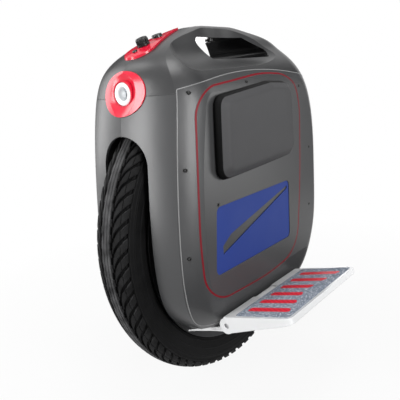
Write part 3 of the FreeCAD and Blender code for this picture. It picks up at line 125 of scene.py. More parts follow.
class PedalSettings(bpy.types.PropertyGroup):
    alloy: paint("Pedal alloy", (0.66, 0.665, 0.67), "Light satin alloy of the pedals and hangers")
    tape: paint("Grip tape", (0.125, 0.155, 0.20), "Gritty tape on the pedals")
    fleck: paint("Tape fleck", (0.62, 0.66, 0.72), "Bright grains in the tape")
    stripe: paint("Stripe red", (0.70, 0.010, 0.030), "Printed stripes on the tape")


class StudioSettings(bpy.types.PropertyGroup):
    azimuth: angle("Azimuth", 40.01, "Camera's turn from straight ahead towards the left side")
    elevation: angle("Elevation", 12.81, "Camera's tilt down towards the floor")
    roll: angle("Roll", -5.04, "Camera's turn about its own line of sight")
    place: FloatVectorProperty(name="Camera place", default=(0.6464, 0.5138, 0.4697), subtype="TRANSLATION",
                               description="Where the camera stands")
    lens: FloatProperty(name="Lens", default=45.18, description="Focal length in millimetres", unit="CAMERA")
    floor: paint("Floor", (0.55, 0.55, 0.55), "Pale studio floor")


# Meshes

def link(piece):
    bpy.context.scene.collection.objects.link(piece)
    return piece


def new_object(name, vertices, faces, edges=()):
    mesh = bpy.data.meshes.new(name)
    mesh.from_pydata([tuple(v) for v in vertices], edges, faces)
    return link(bpy.data.objects.new(name, mesh))


def close_up(mesh, crease=35):
    """Merges doubles, turns the faces outwards and shades the mesh smooth up to a crease in degrees."""
    bm = bmesh.new()
    bm.from_mesh(mesh)
    bmesh.ops.remove_doubles(bm, verts=bm.verts, dist=WELD)
    bmesh.ops.recalc_face_normals(bm, faces=bm.faces)
    bm.to_mesh(mesh)
    bm.free()
    mesh.shade_smooth()
    mesh.set_sharp_from_angle(angle=math.radians(crease))


def standing_on(centre, axis):
    """Matrix that takes a shape made along Z to a centre and an axis."""
    return Matrix.Translation(centre) @ UPWARD.rotation_difference(axis).to_matrix().to_4x4()


def lathe(profile, steps, place, closed=False):
    """Vertices and faces of a profile of (radius, height) pairs turned about an axis."""
    vertices = []
    for step in range(steps):
        turn = step * FULL_TURN / steps
        for radius, height in profile:
            vertices.append(place @ Vector((radius * math.cos(turn), radius * math.sin(turn), height)))
    count = len(profile)
    faces = []
    for step in range(steps):
        here, there = step * count, (step + 1) % steps * count
        for i in range(count if closed else count - 1):
            j = (i + 1) % count
            faces.append((here + i, there + i, there + j, here + j))
    return vertices, faces


def stack(rings, lid=True):
    """Vertices and faces of a skin through rings that have the same number of points."""
    count = len(rings[0])
    vertices = [point for ring in rings for point in ring]
    faces = []
    for level in range(len(rings) - 1):
        here, there = level * count, (level + 1) * count
        for i in range(count):
            j = (i + 1) % count
            faces.append((here + i, here + j, there + j, there + i))
    if lid:
        top = (len(rings) - 1) * count
        faces.append(tuple(range(count)))
        faces.append(tuple(range(top, top + count)))
    return vertices, faces


def merged_copy(node):
    """A copy of a CAD node's loose triangles, joined at their corners."""
    bm = bmesh.new()
    bm.from_mesh(NODES[node].data)
    bmesh.ops.remove_doubles(bm, verts=bm.verts, dist=WELD)
    return bm


def islands(node):
    """Boxes (low, high) of the separate solids in a CAD node."""
    bm = merged_copy(node)
    seen, boxes = set(), []
    for start in bm.verts:
        if start in seen:
            continue
        seen.add(start)
        group, waiting = [], [start]
        while waiting:
            vertex = waiting.pop()
            group.append(vertex.co.copy())
            for edge in vertex.link_edges:
                other = edge.other_vert(vertex)
                if other not in seen:
                    seen.add(other)
                    waiting.append(other)
        points = np.array(group)
        boxes.append((Vector(points.min(0)), Vector(points.max(0))))
    bm.free()
    return boxes


def surface(node):
    """A CAD node's skin, for rays."""
    mesh = NODES[node].data
    return BVHTree.FromPolygons([v.co for v in mesh.vertices], [tuple(p.vertices) for p in mesh.polygons])


def dress(node, finish_made):
    mesh = NODES[node].data
    mesh.materials.clear()
    mesh.materials.append(finish_made)


def finish_piece(piece, body, slot, *replaced):
    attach(piece, body)
    if replaced:
        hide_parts(*replaced)


# Node trees

class Tree:
    """A node tree with short calls to add and link nodes."""

    def __init__(self, tree):
        self.tree = tree

    def add(self, kind, inputs=None, **settings):
        node = self.tree.nodes.new(kind)
        for key, value in settings.items():
            setattr(node, key, value)
        self.fill(node.inputs, inputs or {})
        return node

    def fill(self, sockets, values):
        for key, value in values.items():
            self.put(sockets[key], value)

    def put(self, socket, value):
        if isinstance(value, bpy.types.NodeSocket):
            self.tree.links.new(value, socket)
        else:
            socket.default_value = value

    def math(self, operation, first, second=0.0):
        return self.add("ShaderNodeMath", {0: first, 1: second}, operation=operation).outputs[0]

    def line(self, value, slope, start):
        """The value times a slope, on top of a start."""
        return self.math("ADD", self.math("MULTIPLY", value, slope), start)

    def mix(self, factor, first, second):
        node = self.add("ShaderNodeMix", {"Factor": factor}, data_type="RGBA")
        self.fill(node.inputs, {6: first, 7: second})
        return node.outputs[2]

    def spread(self, value, low, high):
        """Stretches the part of a value between low and high to the range from 0 to 1."""
        node = self.add("ShaderNodeMapRange", {"Value": value, "From Min": low, "From Max": high})
        return node.outputs[0]

    def where(self):
        return self.add("ShaderNodeTexCoord").outputs["Object"]

    def noise(self, where, scale, detail, roughness=0.5):
        return self.add("ShaderNodeTexNoise", {"Vector": where, "Scale": scale, "Detail": detail,
                                               "Roughness": roughness}).outputs[0]

    def bump(self, height, strength, rise, **more):
        sockets = {"Strength": strength, "Distance": rise, "Height": height}
        return self.add("ShaderNodeBump", {**sockets, **more}).outputs[0]

    def end(self, socket, geometry, finish_given):
        """Makes the copies real, gives them their material and hands them out."""
        real = self.add("GeometryNodeRealizeInstances", {0: geometry}).outputs[0]
        self.put(socket, self.add("GeometryNodeSetMaterial",
                                  {"Geometry": real, "Material": finish_given}).outputs[0])
        return self.tree


def new_group(name, kind, inputs, outputs):
    """An empty node group with its named sockets, and its input and output nodes."""
    tree = bpy.data.node_groups.new(name, kind)
    for direction, sockets in (("INPUT", inputs), ("OUTPUT", outputs)):
        for socket, socket_kind in sockets.items():
            tree.interface.new_socket(name=socket, in_out=direction, socket_type="NodeSocket" + socket_kind)
    made = Tree(tree)
    return made, made.add("NodeGroupInput").outputs, made.add("NodeGroupOutput").inputs


GROUPS = {}


def shared(maker):
    """A node group that is built when it is first asked for."""
    if maker not in GROUPS:
        GROUPS[maker] = maker()
    return GROUPS[maker]


def ring_tree():
    """Geometry nodes that set copies of a shape in a ring about an axis."""
    t, given, out = new_group("Ring About Axis", "GeometryNodeTree",
                              {"Shape": "Geometry", "Count": "Int", "Centre": "Vector", "Axis": "Vector",
                               "Material": "Material"}, {"Ring": "Geometry"})
    away = t.add("ShaderNodeVectorMath", {0: given["Centre"], "Scale": -1.0}, operation="SCALE").outputs[0]
    centred = t.add("GeometryNodeTransform", {"Geometry": given["Shape"], "Translation": away}).outputs[0]
    points = t.add("GeometryNodePoints", {"Count": given["Count"], "Position": given["Centre"]}).outputs[0]
    step = t.math("DIVIDE", FULL_TURN, given["Count"])
    turn = t.math("MULTIPLY", t.add("GeometryNodeInputIndex").outputs[0], step)
    rotation = t.add("FunctionNodeAxisAngleToRotation", {"Axis": given["Axis"], "Angle": turn}).outputs[0]
    copies = t.add("GeometryNodeInstanceOnPoints",
                   {"Points": points, "Instance": centred, "Rotation": rotation}).outputs[0]
    return t.end(out["Ring"], copies, given["Material"])


def seat_tree():
    """Geometry nodes that set a shape on each point, with its axis along the point's facing."""
    t, given, out = new_group("Seat On Points", "GeometryNodeTree",
                              {"Points": "Geometry", "Shape": "Object", "Material": "Material"},
                              {"Seated": "Geometry"})
    facing = t.add("GeometryNodeInputNamedAttribute", {"Name": "facing"}, data_type="FLOAT_VECTOR").outputs[0]
    rotation = t.add("FunctionNodeAlignRotationToVector", {"Vector": facing}, axis="Z").outputs[0]
    shape = t.add("GeometryNodeObjectInfo", {"Object": given["Shape"]}).outputs["Geometry"]
    copies = t.add("GeometryNodeInstanceOnPoints",
                   {"Points": given["Points"], "Instance": shape, "Rotation": rotation}).outputs[0]
    return t.end(out["Seated"], copies, given["Material"])


def bead_tree():
    """Geometry nodes that roll a round bead along chains of edges."""
    t, given, out = new_group("Bead Along Edge", "GeometryNodeTree",
                              {"Edges": "Geometry", "Radius": "Float", "Step": "Float",
                               "Material": "Material"}, {"Bead": "Geometry"})
    path = t.add("GeometryNodeMeshToCurve", {"Mesh": given["Edges"]}).outputs[0]
    even = t.add("GeometryNodeResampleCurve", {"Curve": path, "Length": given["Step"]},
                 mode="LENGTH").outputs[0]
    section = t.add("GeometryNodeCurvePrimitiveCircle",
                    {"Resolution": BEAD_SIDES, "Radius": given["Radius"]}).outputs[0]
    tube = t.add("GeometryNodeCurveToMesh",
                 {"Curve": even, "Profile Curve": section, "Fill Caps": True}).outputs[0]
    smooth = t.add("GeometryNodeSetShadeSmooth", {"Geometry": tube}).outputs[0]
    return t.end(out["Bead"], smooth, given["Material"])


def run_tree(source, maker, **values):
    """Runs geometry nodes on an object, which then keeps the result as a plain mesh."""
    tree = shared(maker)
    modifier = source.modifiers.new(tree.name, "NODES")
    modifier.node_group = tree
    sockets = {s.name: s.identifier for s in tree.interface.items_tree if s.in_out == "INPUT"}
    for name, value in values.items():
        modifier[sockets[name.capitalize()]] = value
    made = source.evaluated_get(bpy.context.evaluated_depsgraph_get())
    mesh = bpy.data.meshes.new_from_object(made)
    source.modifiers.clear()
    source.data = mesh


# Shader groups

GRAIN_RISE = 0.3 * MM


def grain_group():
    """Fine moulded grain over edges that are rounded by a small radius."""
    t, given, out = new_group("Moulded Grain", "ShaderNodeTree",
                              {"Scale": "Float", "Depth": "Float", "Edge Radius": "Float"},
                              {"Normal": "Vector"})
    where = t.where()
    coarse = t.noise(where, given["Scale"], 3.0)
    cells = t.add("ShaderNodeTexVoronoi", {"Vector": where, "Scale": given["Scale"]}).outputs["Distance"]
    edge = t.add("ShaderNodeBevel", {"Radius": given["Edge Radius"]}, samples=4).outputs[0]
    t.put(out["Normal"], t.bump(t.math("ADD", coarse, cells), given["Depth"], GRAIN_RISE, Normal=edge))
    return t.tree


def marks_group():
    """Smudges and fine scratches from handling."""
    t, given, out = new_group("Handling Marks", "ShaderNodeTree",
                              {"Colour": "Color", "Mark Colour": "Color", "Amount": "Float",
                               "Roughness": "Float", "Variation": "Float"},
                              {"Colour": "Color", "Roughness": "Float"})
    where = t.where()
    clouds = t.noise(where, 14.0, 6.0, roughness=0.62)
    smudge = t.spread(clouds, 0.46, 0.74)
    stretched = t.add("ShaderNodeMapping", {"Vector": where, "Rotation": (0.3, 0.5, 0.4),
                                            "Scale": (26.0, 420.0, 260.0)}).outputs[0]
    scratch = t.math("MULTIPLY", t.spread(t.noise(stretched, 1.0, 2.0), 0.66, 0.74), smudge)
    marked = t.math("MAXIMUM", t.math("MULTIPLY", smudge, 0.6), scratch)
    mask = t.math("MULTIPLY", marked, given["Amount"])
    t.put(out["Colour"], t.mix(mask, given["Colour"], given["Mark Colour"]))
    drift = t.math("MULTIPLY", t.math("SUBTRACT", clouds, 0.5), given["Variation"])
    t.put(out["Roughness"], t.math("ADD", given["Roughness"], drift))
    return t.tree


# Materials

def shaded(name):
    """A new material with its tree and its principled shader."""
    made = bpy.data.materials.new(name)
    made.use_nodes = True
    return made, Tree(made.node_tree), made.node_tree.nodes["Principled BSDF"].inputs


def rgba(colour):
    return (*colour, 1.0)


def lighter(colour, share):
    return tuple(c + (1 - c) * share for c in colour)


def darker(colour, share):
    return tuple(c * share for c in colour)


def place_group(t, maker, inputs):
    return t.add("ShaderNodeGroup", inputs, node_tree=shared(maker)).outputs


def finish(name, colour, marked, roughness, metallic=0.0, coat=0.0, amount=0.35, variation=0.18,
           grain=900.0, depth=0.10, edge=0.5 * MM, specular=0.5):
    """A painted, moulded or plated surface with grain, soft edges and marks of use."""
    made, t, shader = shaded(name)
    marks = place_group(t, marks_group, {"Colour": rgba(colour), "Mark Colour": rgba(marked),
                                         "Amount": amount, "Roughness": roughness, "Variation": variation})
    skin = place_group(t, grain_group, {"Scale": grain, "Depth": depth, "Edge Radius": edge})
    t.fill(shader, {"Base Color": marks["Colour"], "Roughness": marks["Roughness"], "Normal": skin["Normal"],
                    "Metallic": metallic, "Coat Weight": coat, "Specular IOR Level": specular})
    return made


def casing_satin(name, shade, settings):
    grey, scuffed = darker(settings.grey, shade), darker(settings.scuffed, shade)
    return finish(name, grey, scuffed, 0.33, grain=1500.0, depth=0.04, edge=0.9 * MM, amount=0.25,
                  variation=0.08, specular=0.40)


def red_gloss(settings):
    return finish("red_gloss", settings.red, lighter(settings.red, 0.08), 0.20, grain=700.0, depth=0.002,
                  edge=0.7 * MM, amount=0.2, variation=0.05, specular=0.42)


def light_line(settings):
    deep, rubbed = darker(settings.red, 0.26), darker(settings.red, 0.5)
    return finish("light_line", deep, rubbed, 0.45, grain=700.0, depth=0.02, edge=0.3 * MM, amount=0.25,
                  specular=0.2)


def tyre_rubber(settings):
    """Rubber that is dusty and worn on the tread's tops, with a painted highlight along the lugs' edges, and black
    in the grooves.
    """
    made, t, shader = shaded("tyre_rubber")
    top = t.add("ShaderNodeAttribute", attribute_name="tread_wear_and_highlight").outputs["Fac"]
    patches = t.noise(t.where(), 55.0, 8.0)
    # Paler rubber where the attribute is high: real dust and wear on the rib and tops, and a painted highlight
    # along the lugs' edges
    dust_and_highlight = t.math("MULTIPLY", top, t.spread(patches, 0.25, 0.75))
    skin = place_group(t, grain_group, {"Scale": 900.0, "Depth": 0.25, "Edge Radius": 0.5 * MM})
    t.fill(shader, {"Base Color": t.mix(dust_and_highlight, rgba(settings.rubber), rgba(settings.worn)),
                    "Roughness": t.line(patches, 0.25, 0.52), "Normal": skin["Normal"],
                    "Specular IOR Level": 0.08})
    return made


def grip_tape(settings):
    """Blue-grey tape set with bright grains."""
    made, t, shader = shaded("grip_tape")
    where = t.where()
    grains = t.add("ShaderNodeTexVoronoi", {"Vector": where, "Scale": 620.0}).outputs
    tone = t.add("ShaderNodeSeparateColor", {0: grains["Color"]}).outputs[0]
    fleck = t.math("MULTIPLY", t.spread(tone, 0.55, 0.75), t.spread(grains["Distance"], 0.7, 0.3))
    clouds = t.spread(t.noise(where, 60.0, 5.0), 0.3, 0.7)
    base = t.mix(clouds, rgba(settings.tape), rgba(lighter(settings.tape, 0.08)))
    t.fill(shader, {"Base Color": t.mix(fleck, base, rgba(settings.fleck)),
                    "Roughness": t.line(fleck, -0.35, 0.92),
                    "Normal": t.bump(t.math("SUBTRACT", 1.0, grains["Distance"]), 0.8, 0.5 * MM)})
    return made


def stripe_print(settings):
    """Red print with a fine slanting hatch pressed into it."""
    made, t, shader = shaded("stripe_print")
    where = t.where()
    slant = (0.0, 0.0, math.radians(40))
    slanting = t.add("ShaderNodeMapping", {"Vector": where, "Rotation": slant}).outputs[0]
    hatch = t.add("ShaderNodeTexWave", {"Vector": slanting, "Scale": 60.0, "Distortion": 0.3}).outputs["Fac"]
    clouds = t.noise(where, 240.0, 5.0)
    shade = t.math("MULTIPLY", t.spread(hatch, 0.5, 0.9), 0.6)
    t.fill(shader, {"Base Color": t.mix(shade, rgba(settings.stripe), rgba(darker(settings.stripe, 0.5))),
                    "Roughness": t.line(clouds, 0.3, 0.4),
                    "Normal": t.bump(t.math("ADD", hatch, clouds), 0.4, 0.3 * MM)})
    return made


def lamp_glass(name, colour, roughness, clear):
    """Clear or tinted moulding with faint flow marks."""
    made, t, shader = shaded(name)
    flow = t.noise(t.where(), 90.0, 3.0)
    t.fill(shader, {"Base Color": t.mix(flow, rgba(colour), rgba(lighter(colour, 0.12))),
                    "Roughness": t.line(flow, 0.08, roughness), "Transmission Weight": clear, "IOR": 1.49})
    return made


def lamp_white():
    """Opal ring of the headlight, lit faintly from within."""
    made = finish("lamp_white", (0.78, 0.78, 0.79), (0.68, 0.69, 0.71), 0.25, coat=0.4, depth=0.02,
                  amount=0.2)
    shader = made.node_tree.nodes["Principled BSDF"].inputs
    shader["Emission Color"].default_value = (1.0, 1.0, 1.0, 1.0)
    shader["Emission Strength"].default_value = 0.05
    return made


def winding_copper():
    """Enamelled wire laid in close turns."""
    made, t, shader = shaded("winding_copper")
    turns = t.add("ShaderNodeTexWave", {"Vector": t.where(), "Scale": 160.0, "Distortion": 2.0},
                  wave_type="RINGS").outputs["Fac"]
    t.fill(shader, {"Base Color": t.mix(turns, (0.30, 0.10, 0.03, 1.0), (0.70, 0.32, 0.13, 1.0)),
                    "Roughness": t.line(turns, 0.15, 0.25), "Metallic": 0.9,
                    "Normal": t.bump(turns, 0.6, 0.4 * MM)})
    return made


def slot_materials(casing, pads, pedals, tyres):
    """A finish for each material slot of the record."""
    alloy, worn_alloy = pedals.alloy, darker(pedals.alloy, 0.8)
    return {
        "tyre": tyre_rubber(tyres),
        "rubber_black": finish("rubber_black", (0.005, 0.005, 0.0052), (0.02, 0.02, 0.021), 0.22, depth=0.03,
                               specular=0.35),
        "rim_dark": finish("rim_anodised", (0.03, 0.03, 0.032), (0.12, 0.12, 0.125), 0.38, metallic=0.8),
        "motor_silver": finish("motor_casting", (0.42, 0.43, 0.44), (0.3, 0.3, 0.31), 0.45, metallic=0.9,
                               grain=500.0, depth=0.3),
        "magnet": finish("magnet_nickel", (0.55, 0.56, 0.57), (0.4, 0.4, 0.41), 0.3, metallic=1.0),
        "steel": finish("zinc_steel", (0.52, 0.52, 0.53), (0.36, 0.35, 0.33), 0.32, metallic=1.0, depth=0.06),
        "lamination": finish("stator_sheet", (0.17, 0.17, 0.18), (0.28, 0.26, 0.24), 0.45, metallic=0.8),
        "copper": winding_copper(),
        "hanger_white": finish("hanger_alloy", lighter(alloy, 0.12), worn_alloy, 0.36, metallic=0.15,
                               depth=0.05, edge=0.8 * MM, amount=0.25),
        "pedal_silver": finish("pedal_alloy", alloy, worn_alloy, 0.34, metallic=0.2, depth=0.05,
                               edge=1.0 * MM, amount=0.25),
        "grip_tape": grip_tape(pedals),
        "red_matte": stripe_print(pedals),
        "chassis_black": finish("chassis_black", (0.02, 0.02, 0.021), (0.06, 0.06, 0.061), 0.55, grain=700.0,
                                depth=0.25),
        "battery_wrap": finish("battery_wrap", (0.03, 0.09, 0.26), (0.1, 0.16, 0.32), 0.28, coat=0.3),
        "board_green": finish("board_lacquer", (0.02, 0.16, 0.06), (0.3, 0.25, 0.08), 0.3, coat=0.4,
                              grain=350.0),
        "casing_grey": casing_satin("casing_satin", 1.0, casing),
        "red_gloss": red_gloss(casing),
        "screw_black": finish("screw_black", (0.012, 0.012, 0.012), (0.09, 0.09, 0.09), 0.42, metallic=0.5),
        "window_blue": finish("window_blue", casing.window, lighter(casing.window, 0.04), 0.45, depth=0.03,
                              amount=0.3, specular=0.1),
        "pad_foam": finish("pad_skin", pads.skin, lighter(pads.skin, 0.03), 0.60, grain=620.0, depth=0.22,
                           edge=0.2 * MM, specular=0.25),
        "lamp_white": lamp_white(),
        "lamp_lens": lamp_glass("lamp_lens", (0.80, 0.83, 0.86), 0.10, 0.4),
        "tail_red": lamp_glass("tail_red", (0.55, 0.006, 0.014), 0.14, 0.15),
        "socket_metal": finish("socket_plate", (0.6, 0.6, 0.62), (0.4, 0.4, 0.41), 0.22, metallic=1.0),
        "button_black": finish("button_black", (0.008, 0.008, 0.0085), (0.03, 0.03, 0.031), 0.18, coat=0.2,
                               depth=0.01, specular=0.35),
    }


def extra_materials(casing, pads):
    """Finishes that share a slot with another one."""
    # The side panels' rolled edges are a paler grey than the casing: a painted highlight along the seam
    painted_highlight_grey = lighter(casing.grey, 0.14)
    return {
        "edge_painted_highlight": finish("edge_painted_highlight", painted_highlight_grey, lighter(painted_highlight_grey, 0.1), 0.35, depth=0.02),
        "pad_wall": finish("pad_wall", pads.wall, lighter(pads.wall, 0.01), 0.55, depth=0.1, specular=0.05),
        "light_line": light_line(casing),
        # The top shell's satin is the casing satin darkened to 0.65: painted shade that makes the top darker than
        # the sides
        "top_satin_painted_shade": casing_satin("top_satin_painted_shade", 0.65, casing),
    }


MATERIALS = {}


def material(name):
    return MATERIALS[name]


# Handle's lining: the box round its opening, and how far its walls may lean

LINING_LOW = (-0.125, -0.085, 0.5055)
LINING_HIGH = (0.07, 0.085, 0.5395)
LINING_LEAN = 0.02


def line_handle():
    """Gives the walls of the handle's opening a gloss black lining."""
    mesh = NODES["top_shell"].data
    mesh.materials.append(material("button_black"))
    for face in mesh.polygons:
        inside = all(low < c < high for low, c, high in zip(LINING_LOW, face.center, LINING_HIGH))
        if inside and abs(face.normal.y) < LINING_LEAN:
            face.material_index = 1


# Tyre

TYRE_LOW, TYRE_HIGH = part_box("tyre")
AXLE = (TYRE_LOW + TYRE_HIGH) / 2
WHEEL_R = (TYRE_HIGH.x - TYRE_LOW.x) / 2
TYRE_HALF = (TYRE_HIGH.y - TYRE_LOW.y) / 2
TYRE_STEPS = 240
SECTION_STEP = 0.55 * MM
BEAD_INSET = 3 * MM
BELLY_SHARE = 0.465
RIB_LINE_HALF = 0.4 * MM
RIB_LINE_DEPTH = 0.8 * MM
RIB_SLOPE = 0.6 * MM
RIB_BAND = 2 * MM
WALL_SINK = 0.9 * MM
WALL_RINGS = (44.0 * MM, 46.5 * MM, 58.0 * MM, 70.0 * MM)
WALL_RING_HALF = 0.9 * MM
WALL_RING_RISE = 0.7 * MM
CARCASS_WALL = 6 * MM
INNER_FOOT = 4 * MM
INNER_BELLY = 24 * MM
INNER_CROWN = 16 * MM
LUG_ROOT = 0.6 * MM
LUG_ROUND = 0.8 * MM
SWEEP_POWER = 0.62
TIP_SWELL = 1.8
FIN_TIP_SHARE = 0.3
TOOTH_PHASE_SHARE = -0.25
TOOTH_LAP = 0.4 * MM
TOOTH_LENGTH_SHARE = 0.75
DOT_WIDTH = 1.4 * MM
DOT_RISE = 0.9 * MM

# How worn the rubber is: on the rib, on the lugs' edges and tops, on the wall and in the grooves; the lugs' edges
# are set paler than their tops as a painted highlight on top of real wear
WORN_RIB, EDGE_WEAR_AND_HIGHLIGHT, WORN_TOP, WORN_WALL, WORN_GROOVE = 1.0, 0.5, 0.16, 0.04, 0.0


def circle_through(a, b, c):
    """Centre and radius of the circle through three points of a plane."""
    divisor = 2 * (a[0] * (b[1] - c[1]) + b[0] * (c[1] - a[1]) + c[0] * (a[1] - b[1]))
    squares = [p[0] ** 2 + p[1] ** 2 for p in (a, b, c)]
    x = (squares[0] * (b[1] - c[1]) + squares[1] * (c[1] - a[1]) + squares[2] * (a[1] - b[1])) / divisor
    y = (squares[0] * (c[0] - b[0]) + squares[1] * (a[0] - c[0]) + squares[2] * (b[0] - a[0])) / divisor
    return (x, y), math.hypot(a[0] - x, a[1] - y)


class TyreSection:
    """The tyre's outer section: a crown arc between the shoulders and an arc down each sidewall."""

    def __init__(self, settings):
        rim_low, rim_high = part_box("rim")
        self.flange_r = (rim_high.x - rim_low.x) / 2
        self.bead_half = (rim_high.y - rim_low.y) / 2 - BEAD_INSET
        half, drop = settings.shoulder_half, settings.shoulder_drop
        self.crown_arc = (half ** 2 + drop ** 2) / (2 * drop)
        self.crown_reach = self.crown_arc * math.asin(half / self.crown_arc)
        belly = self.flange_r + (WHEEL_R - self.flange_r) * BELLY_SHARE
        shoulder, bead_foot = (half, WHEEL_R - drop), (self.bead_half, self.flange_r)
        self.wall_centre, self.wall_arc = circle_through(shoulder, (TYRE_HALF, belly), bead_foot)
        self.wall_top, self.wall_foot = (math.atan2(r - self.wall_centre[1], y - self.wall_centre[0])
                                         for y, r in (shoulder, bead_foot))

    def at(self, along, depth=0.0):
        """(across, radius) at a distance from the middle of the tread, sunk by a depth."""
        if along <= self.crown_reach:
            lean = along / self.crown_arc
            reach = self.crown_arc - depth
            return reach * math.sin(lean), WHEEL_R - self.crown_arc + reach * math.cos(lean)
        lean = self.wall_top - (along - self.crown_reach) / self.wall_arc
        reach = self.wall_arc - depth
        return self.wall_centre[0] + reach * math.cos(lean), self.wall_centre[1] + reach * math.sin(lean)

    def length(self):
        return self.crown_reach + (self.wall_top - self.wall_foot) * self.wall_arc


def carcass_depth(along, settings):
    """How far the carcass lies below the tyre's section: tread floor, rib and sidewall rings."""
    if along < settings.rib_half:
        return RIB_LINE_DEPTH if abs(along - settings.rib_line) < RIB_LINE_HALF else 0.0
    if along < settings.block_end:
        return settings.tread_depth * min(1.0, (along - settings.rib_half) / RIB_SLOPE)
    raised = sum(math.exp(-((along - ring) / WALL_RING_HALF) ** 2) for ring in WALL_RINGS)
    return WALL_SINK - WALL_RING_RISE * min(1.0, raised)


def mark_wear_and_highlight(mesh, values):
    attribute = mesh.attributes.new("tread_wear_and_highlight", "FLOAT", "POINT")
    attribute.data.foreach_set("value", np.array(values, np.float32))


def tyre_carcass(settings):
    """The tyre without its lugs: rib, tread floor, ringed sidewalls and the inside."""
    section = TyreSection(settings)
    count = int(section.length() / SECTION_STEP)
    half = []
    for i in range(count + 1):
        along = section.length() * i / count
        half.append(section.at(along, carcass_depth(along, settings)))
    inside = [(section.bead_half - CARCASS_WALL, section.flange_r - INNER_FOOT),
              (TYRE_HALF - CARCASS_WALL, section.flange_r + INNER_BELLY),
              (settings.shoulder_half - CARCASS_WALL, WHEEL_R - INNER_CROWN)]
    outline = [(r, -y) for y, r in reversed(half[1:])] + [(r, y) for y, r in half]
    outline += [(r, y) for y, r in inside] + [(r, -y) for y, r in reversed(inside)]
    vertices, faces = lathe(outline, TYRE_STEPS, standing_on(AXLE, LEFTWARD), closed=True)
    piece = new_object("tyre_carcass", vertices, faces)
    on_rib = [abs(y) < settings.rib_half and r > WHEEL_R - RIB_BAND for r, y in outline]
    mark_wear_and_highlight(piece.data, [WORN_RIB if rib else WORN_WALL for rib in on_rib] * TYRE_STEPS)
    close_up(piece.data, crease=50)
    piece.data.materials.append(material("tyre"))
    finish_piece(piece, "wheel", "tyre", "tyre")


def tread_point(section, side, back, along, depth):
    """Point on the tread near the top of the wheel: back is measured round it, along across it."""
    across, radius = section.at(along, depth)
    turn = -back / WHEEL_R
    return Vector((radius * math.sin(turn), side * across, AXLE.z + radius * math.cos(turn)))


def tread_lug(section, settings, side, phase, start, end, samples, depth, tip_share, length_share):
    """A closed lug between two curved edges that sweep back to the shoulder, narrower at its tip."""
    pitch = FULL_TURN * WHEEL_R / settings.lug_count
    reach = settings.block_end - settings.fin_start
    lead, trail = [], []
    for i in range(samples):
        share = i / (samples - 1)
        along = start + (end - start) * share
        swept = max(0.0, (along - settings.fin_start) / reach) ** SWEEP_POWER
        back = settings.fin_sweep * swept + phase * pitch
        swell = tip_share + (1 - tip_share) * math.sin(min(1.0, share * TIP_SWELL) * math.pi / 2)
        lead.append((back, along))
        trail.append((back + (pitch - settings.slot) * swell * length_share, along))
    outline = lead + trail[::-1]
    count = len(outline)
    middle_back, middle_along = (sum(values) / count for values in zip(*outline))
    rings, tops = [], []
    # The ring at the lugs' edges is paler than their tops: a painted highlight along the edges
    for level, inset, worn in ((depth + LUG_ROOT, 0.0, WORN_GROOVE), (LUG_ROUND, 0.0, EDGE_WEAR_AND_HIGHLIGHT),
                               (0.0, LUG_ROUND, WORN_TOP)):
        ring = []
        for back, along in outline:
            pull = Vector((middle_back - back, middle_along - along))
            pull = pull.normalized() * inset
            ring.append(tread_point(section, side, back + pull.x, along + pull.y, level))
        rings.append(ring)
        tops += [worn] * count
    vertices, faces = stack(rings, lid=False)
    for ring_start in (0, 2 * count):
        for i in range(samples - 1):
            far = count - 1 - i
            faces.append((ring_start + i, ring_start + i + 1, ring_start + far - 1, ring_start + far))
    return vertices, faces, tops


def lug_rows(settings):
    """Lugs of one pitch: phase, start, end, samples, depth, share of width at the tip, share of length."""
    depth, rib, dot = settings.tread_depth, settings.rib_half, settings.dot_start
    fin = (0.0, settings.fin_start, settings.fin_end, 9, depth, FIN_TIP_SHARE, 1.0)
    block = (0.0, settings.block_start, settings.block_end, 5, depth, 1.0, 1.0)
    tooth = (TOOTH_PHASE_SHARE, rib - TOOTH_LAP, rib + settings.rib_notch, 3, depth, 1.0, TOOTH_LENGTH_SHARE)
    dots = [(phase, dot, dot + DOT_WIDTH, 2, DOT_RISE, 1.0, 1.0) for phase in (0.0, 0.5)]
    return fin, block, tooth, *dots


def tyre_tread(settings):
    """One pitch of fins, shoulder blocks, rib teeth and ridge dots on both sides, repeated round the axle."""
    section = TyreSection(settings)
    vertices, faces, tops = [], [], []
    for side, phase in ((1, 0.0), (-1, 0.5)):
        for lug_phase, *row in lug_rows(settings):
            lug_vertices, lug_faces, lug_tops = tread_lug(section, settings, side, phase + lug_phase, *row)
            base = len(vertices)
            vertices += lug_vertices
            faces += [tuple(base + i for i in face) for face in lug_faces]
            tops += lug_tops
    piece = new_object("tyre_tread", vertices, faces)
    mark_wear_and_highlight(piece.data, tops)
    run_tree(piece, ring_tree, count=settings.lug_count, centre=tuple(AXLE), axis=tuple(LEFTWARD),
             material=material("tyre"))
    close_up(piece.data, crease=40)
    finish_piece(piece, "wheel", "tyre", "tyre")


# Casing

WALL_FACING = 0.05
OUTSIDE_FACING = 0.15
EDGE_SINK_SHARE = 0.4
SEAM_SINK_SHARE = 0.45
SEAM_BELOW = 0.3 * MM
SEAM_SPAN_SHARES = (0.02, 0.98)
SEAM_POINTS = 60
BEAD_STEP_SHARE = 2.5
SCREW_RISE = 0.7 * MM
PANEL_SCREW_SUNK = 1.6 * MM
COVER_SCREW_SUNK = 1.8 * MM
HEAD_STEPS = 12

# A screw head's rings: share of its radius, share of its rise or of its depth, and whether it is a hexagon
HEAD_RING_SHARES = ((1.0, -1.0, False), (1.0, 0.4, False), (0.84, 1.0, False), (0.52, 1.0, True),
                    (0.50, -0.5, True))


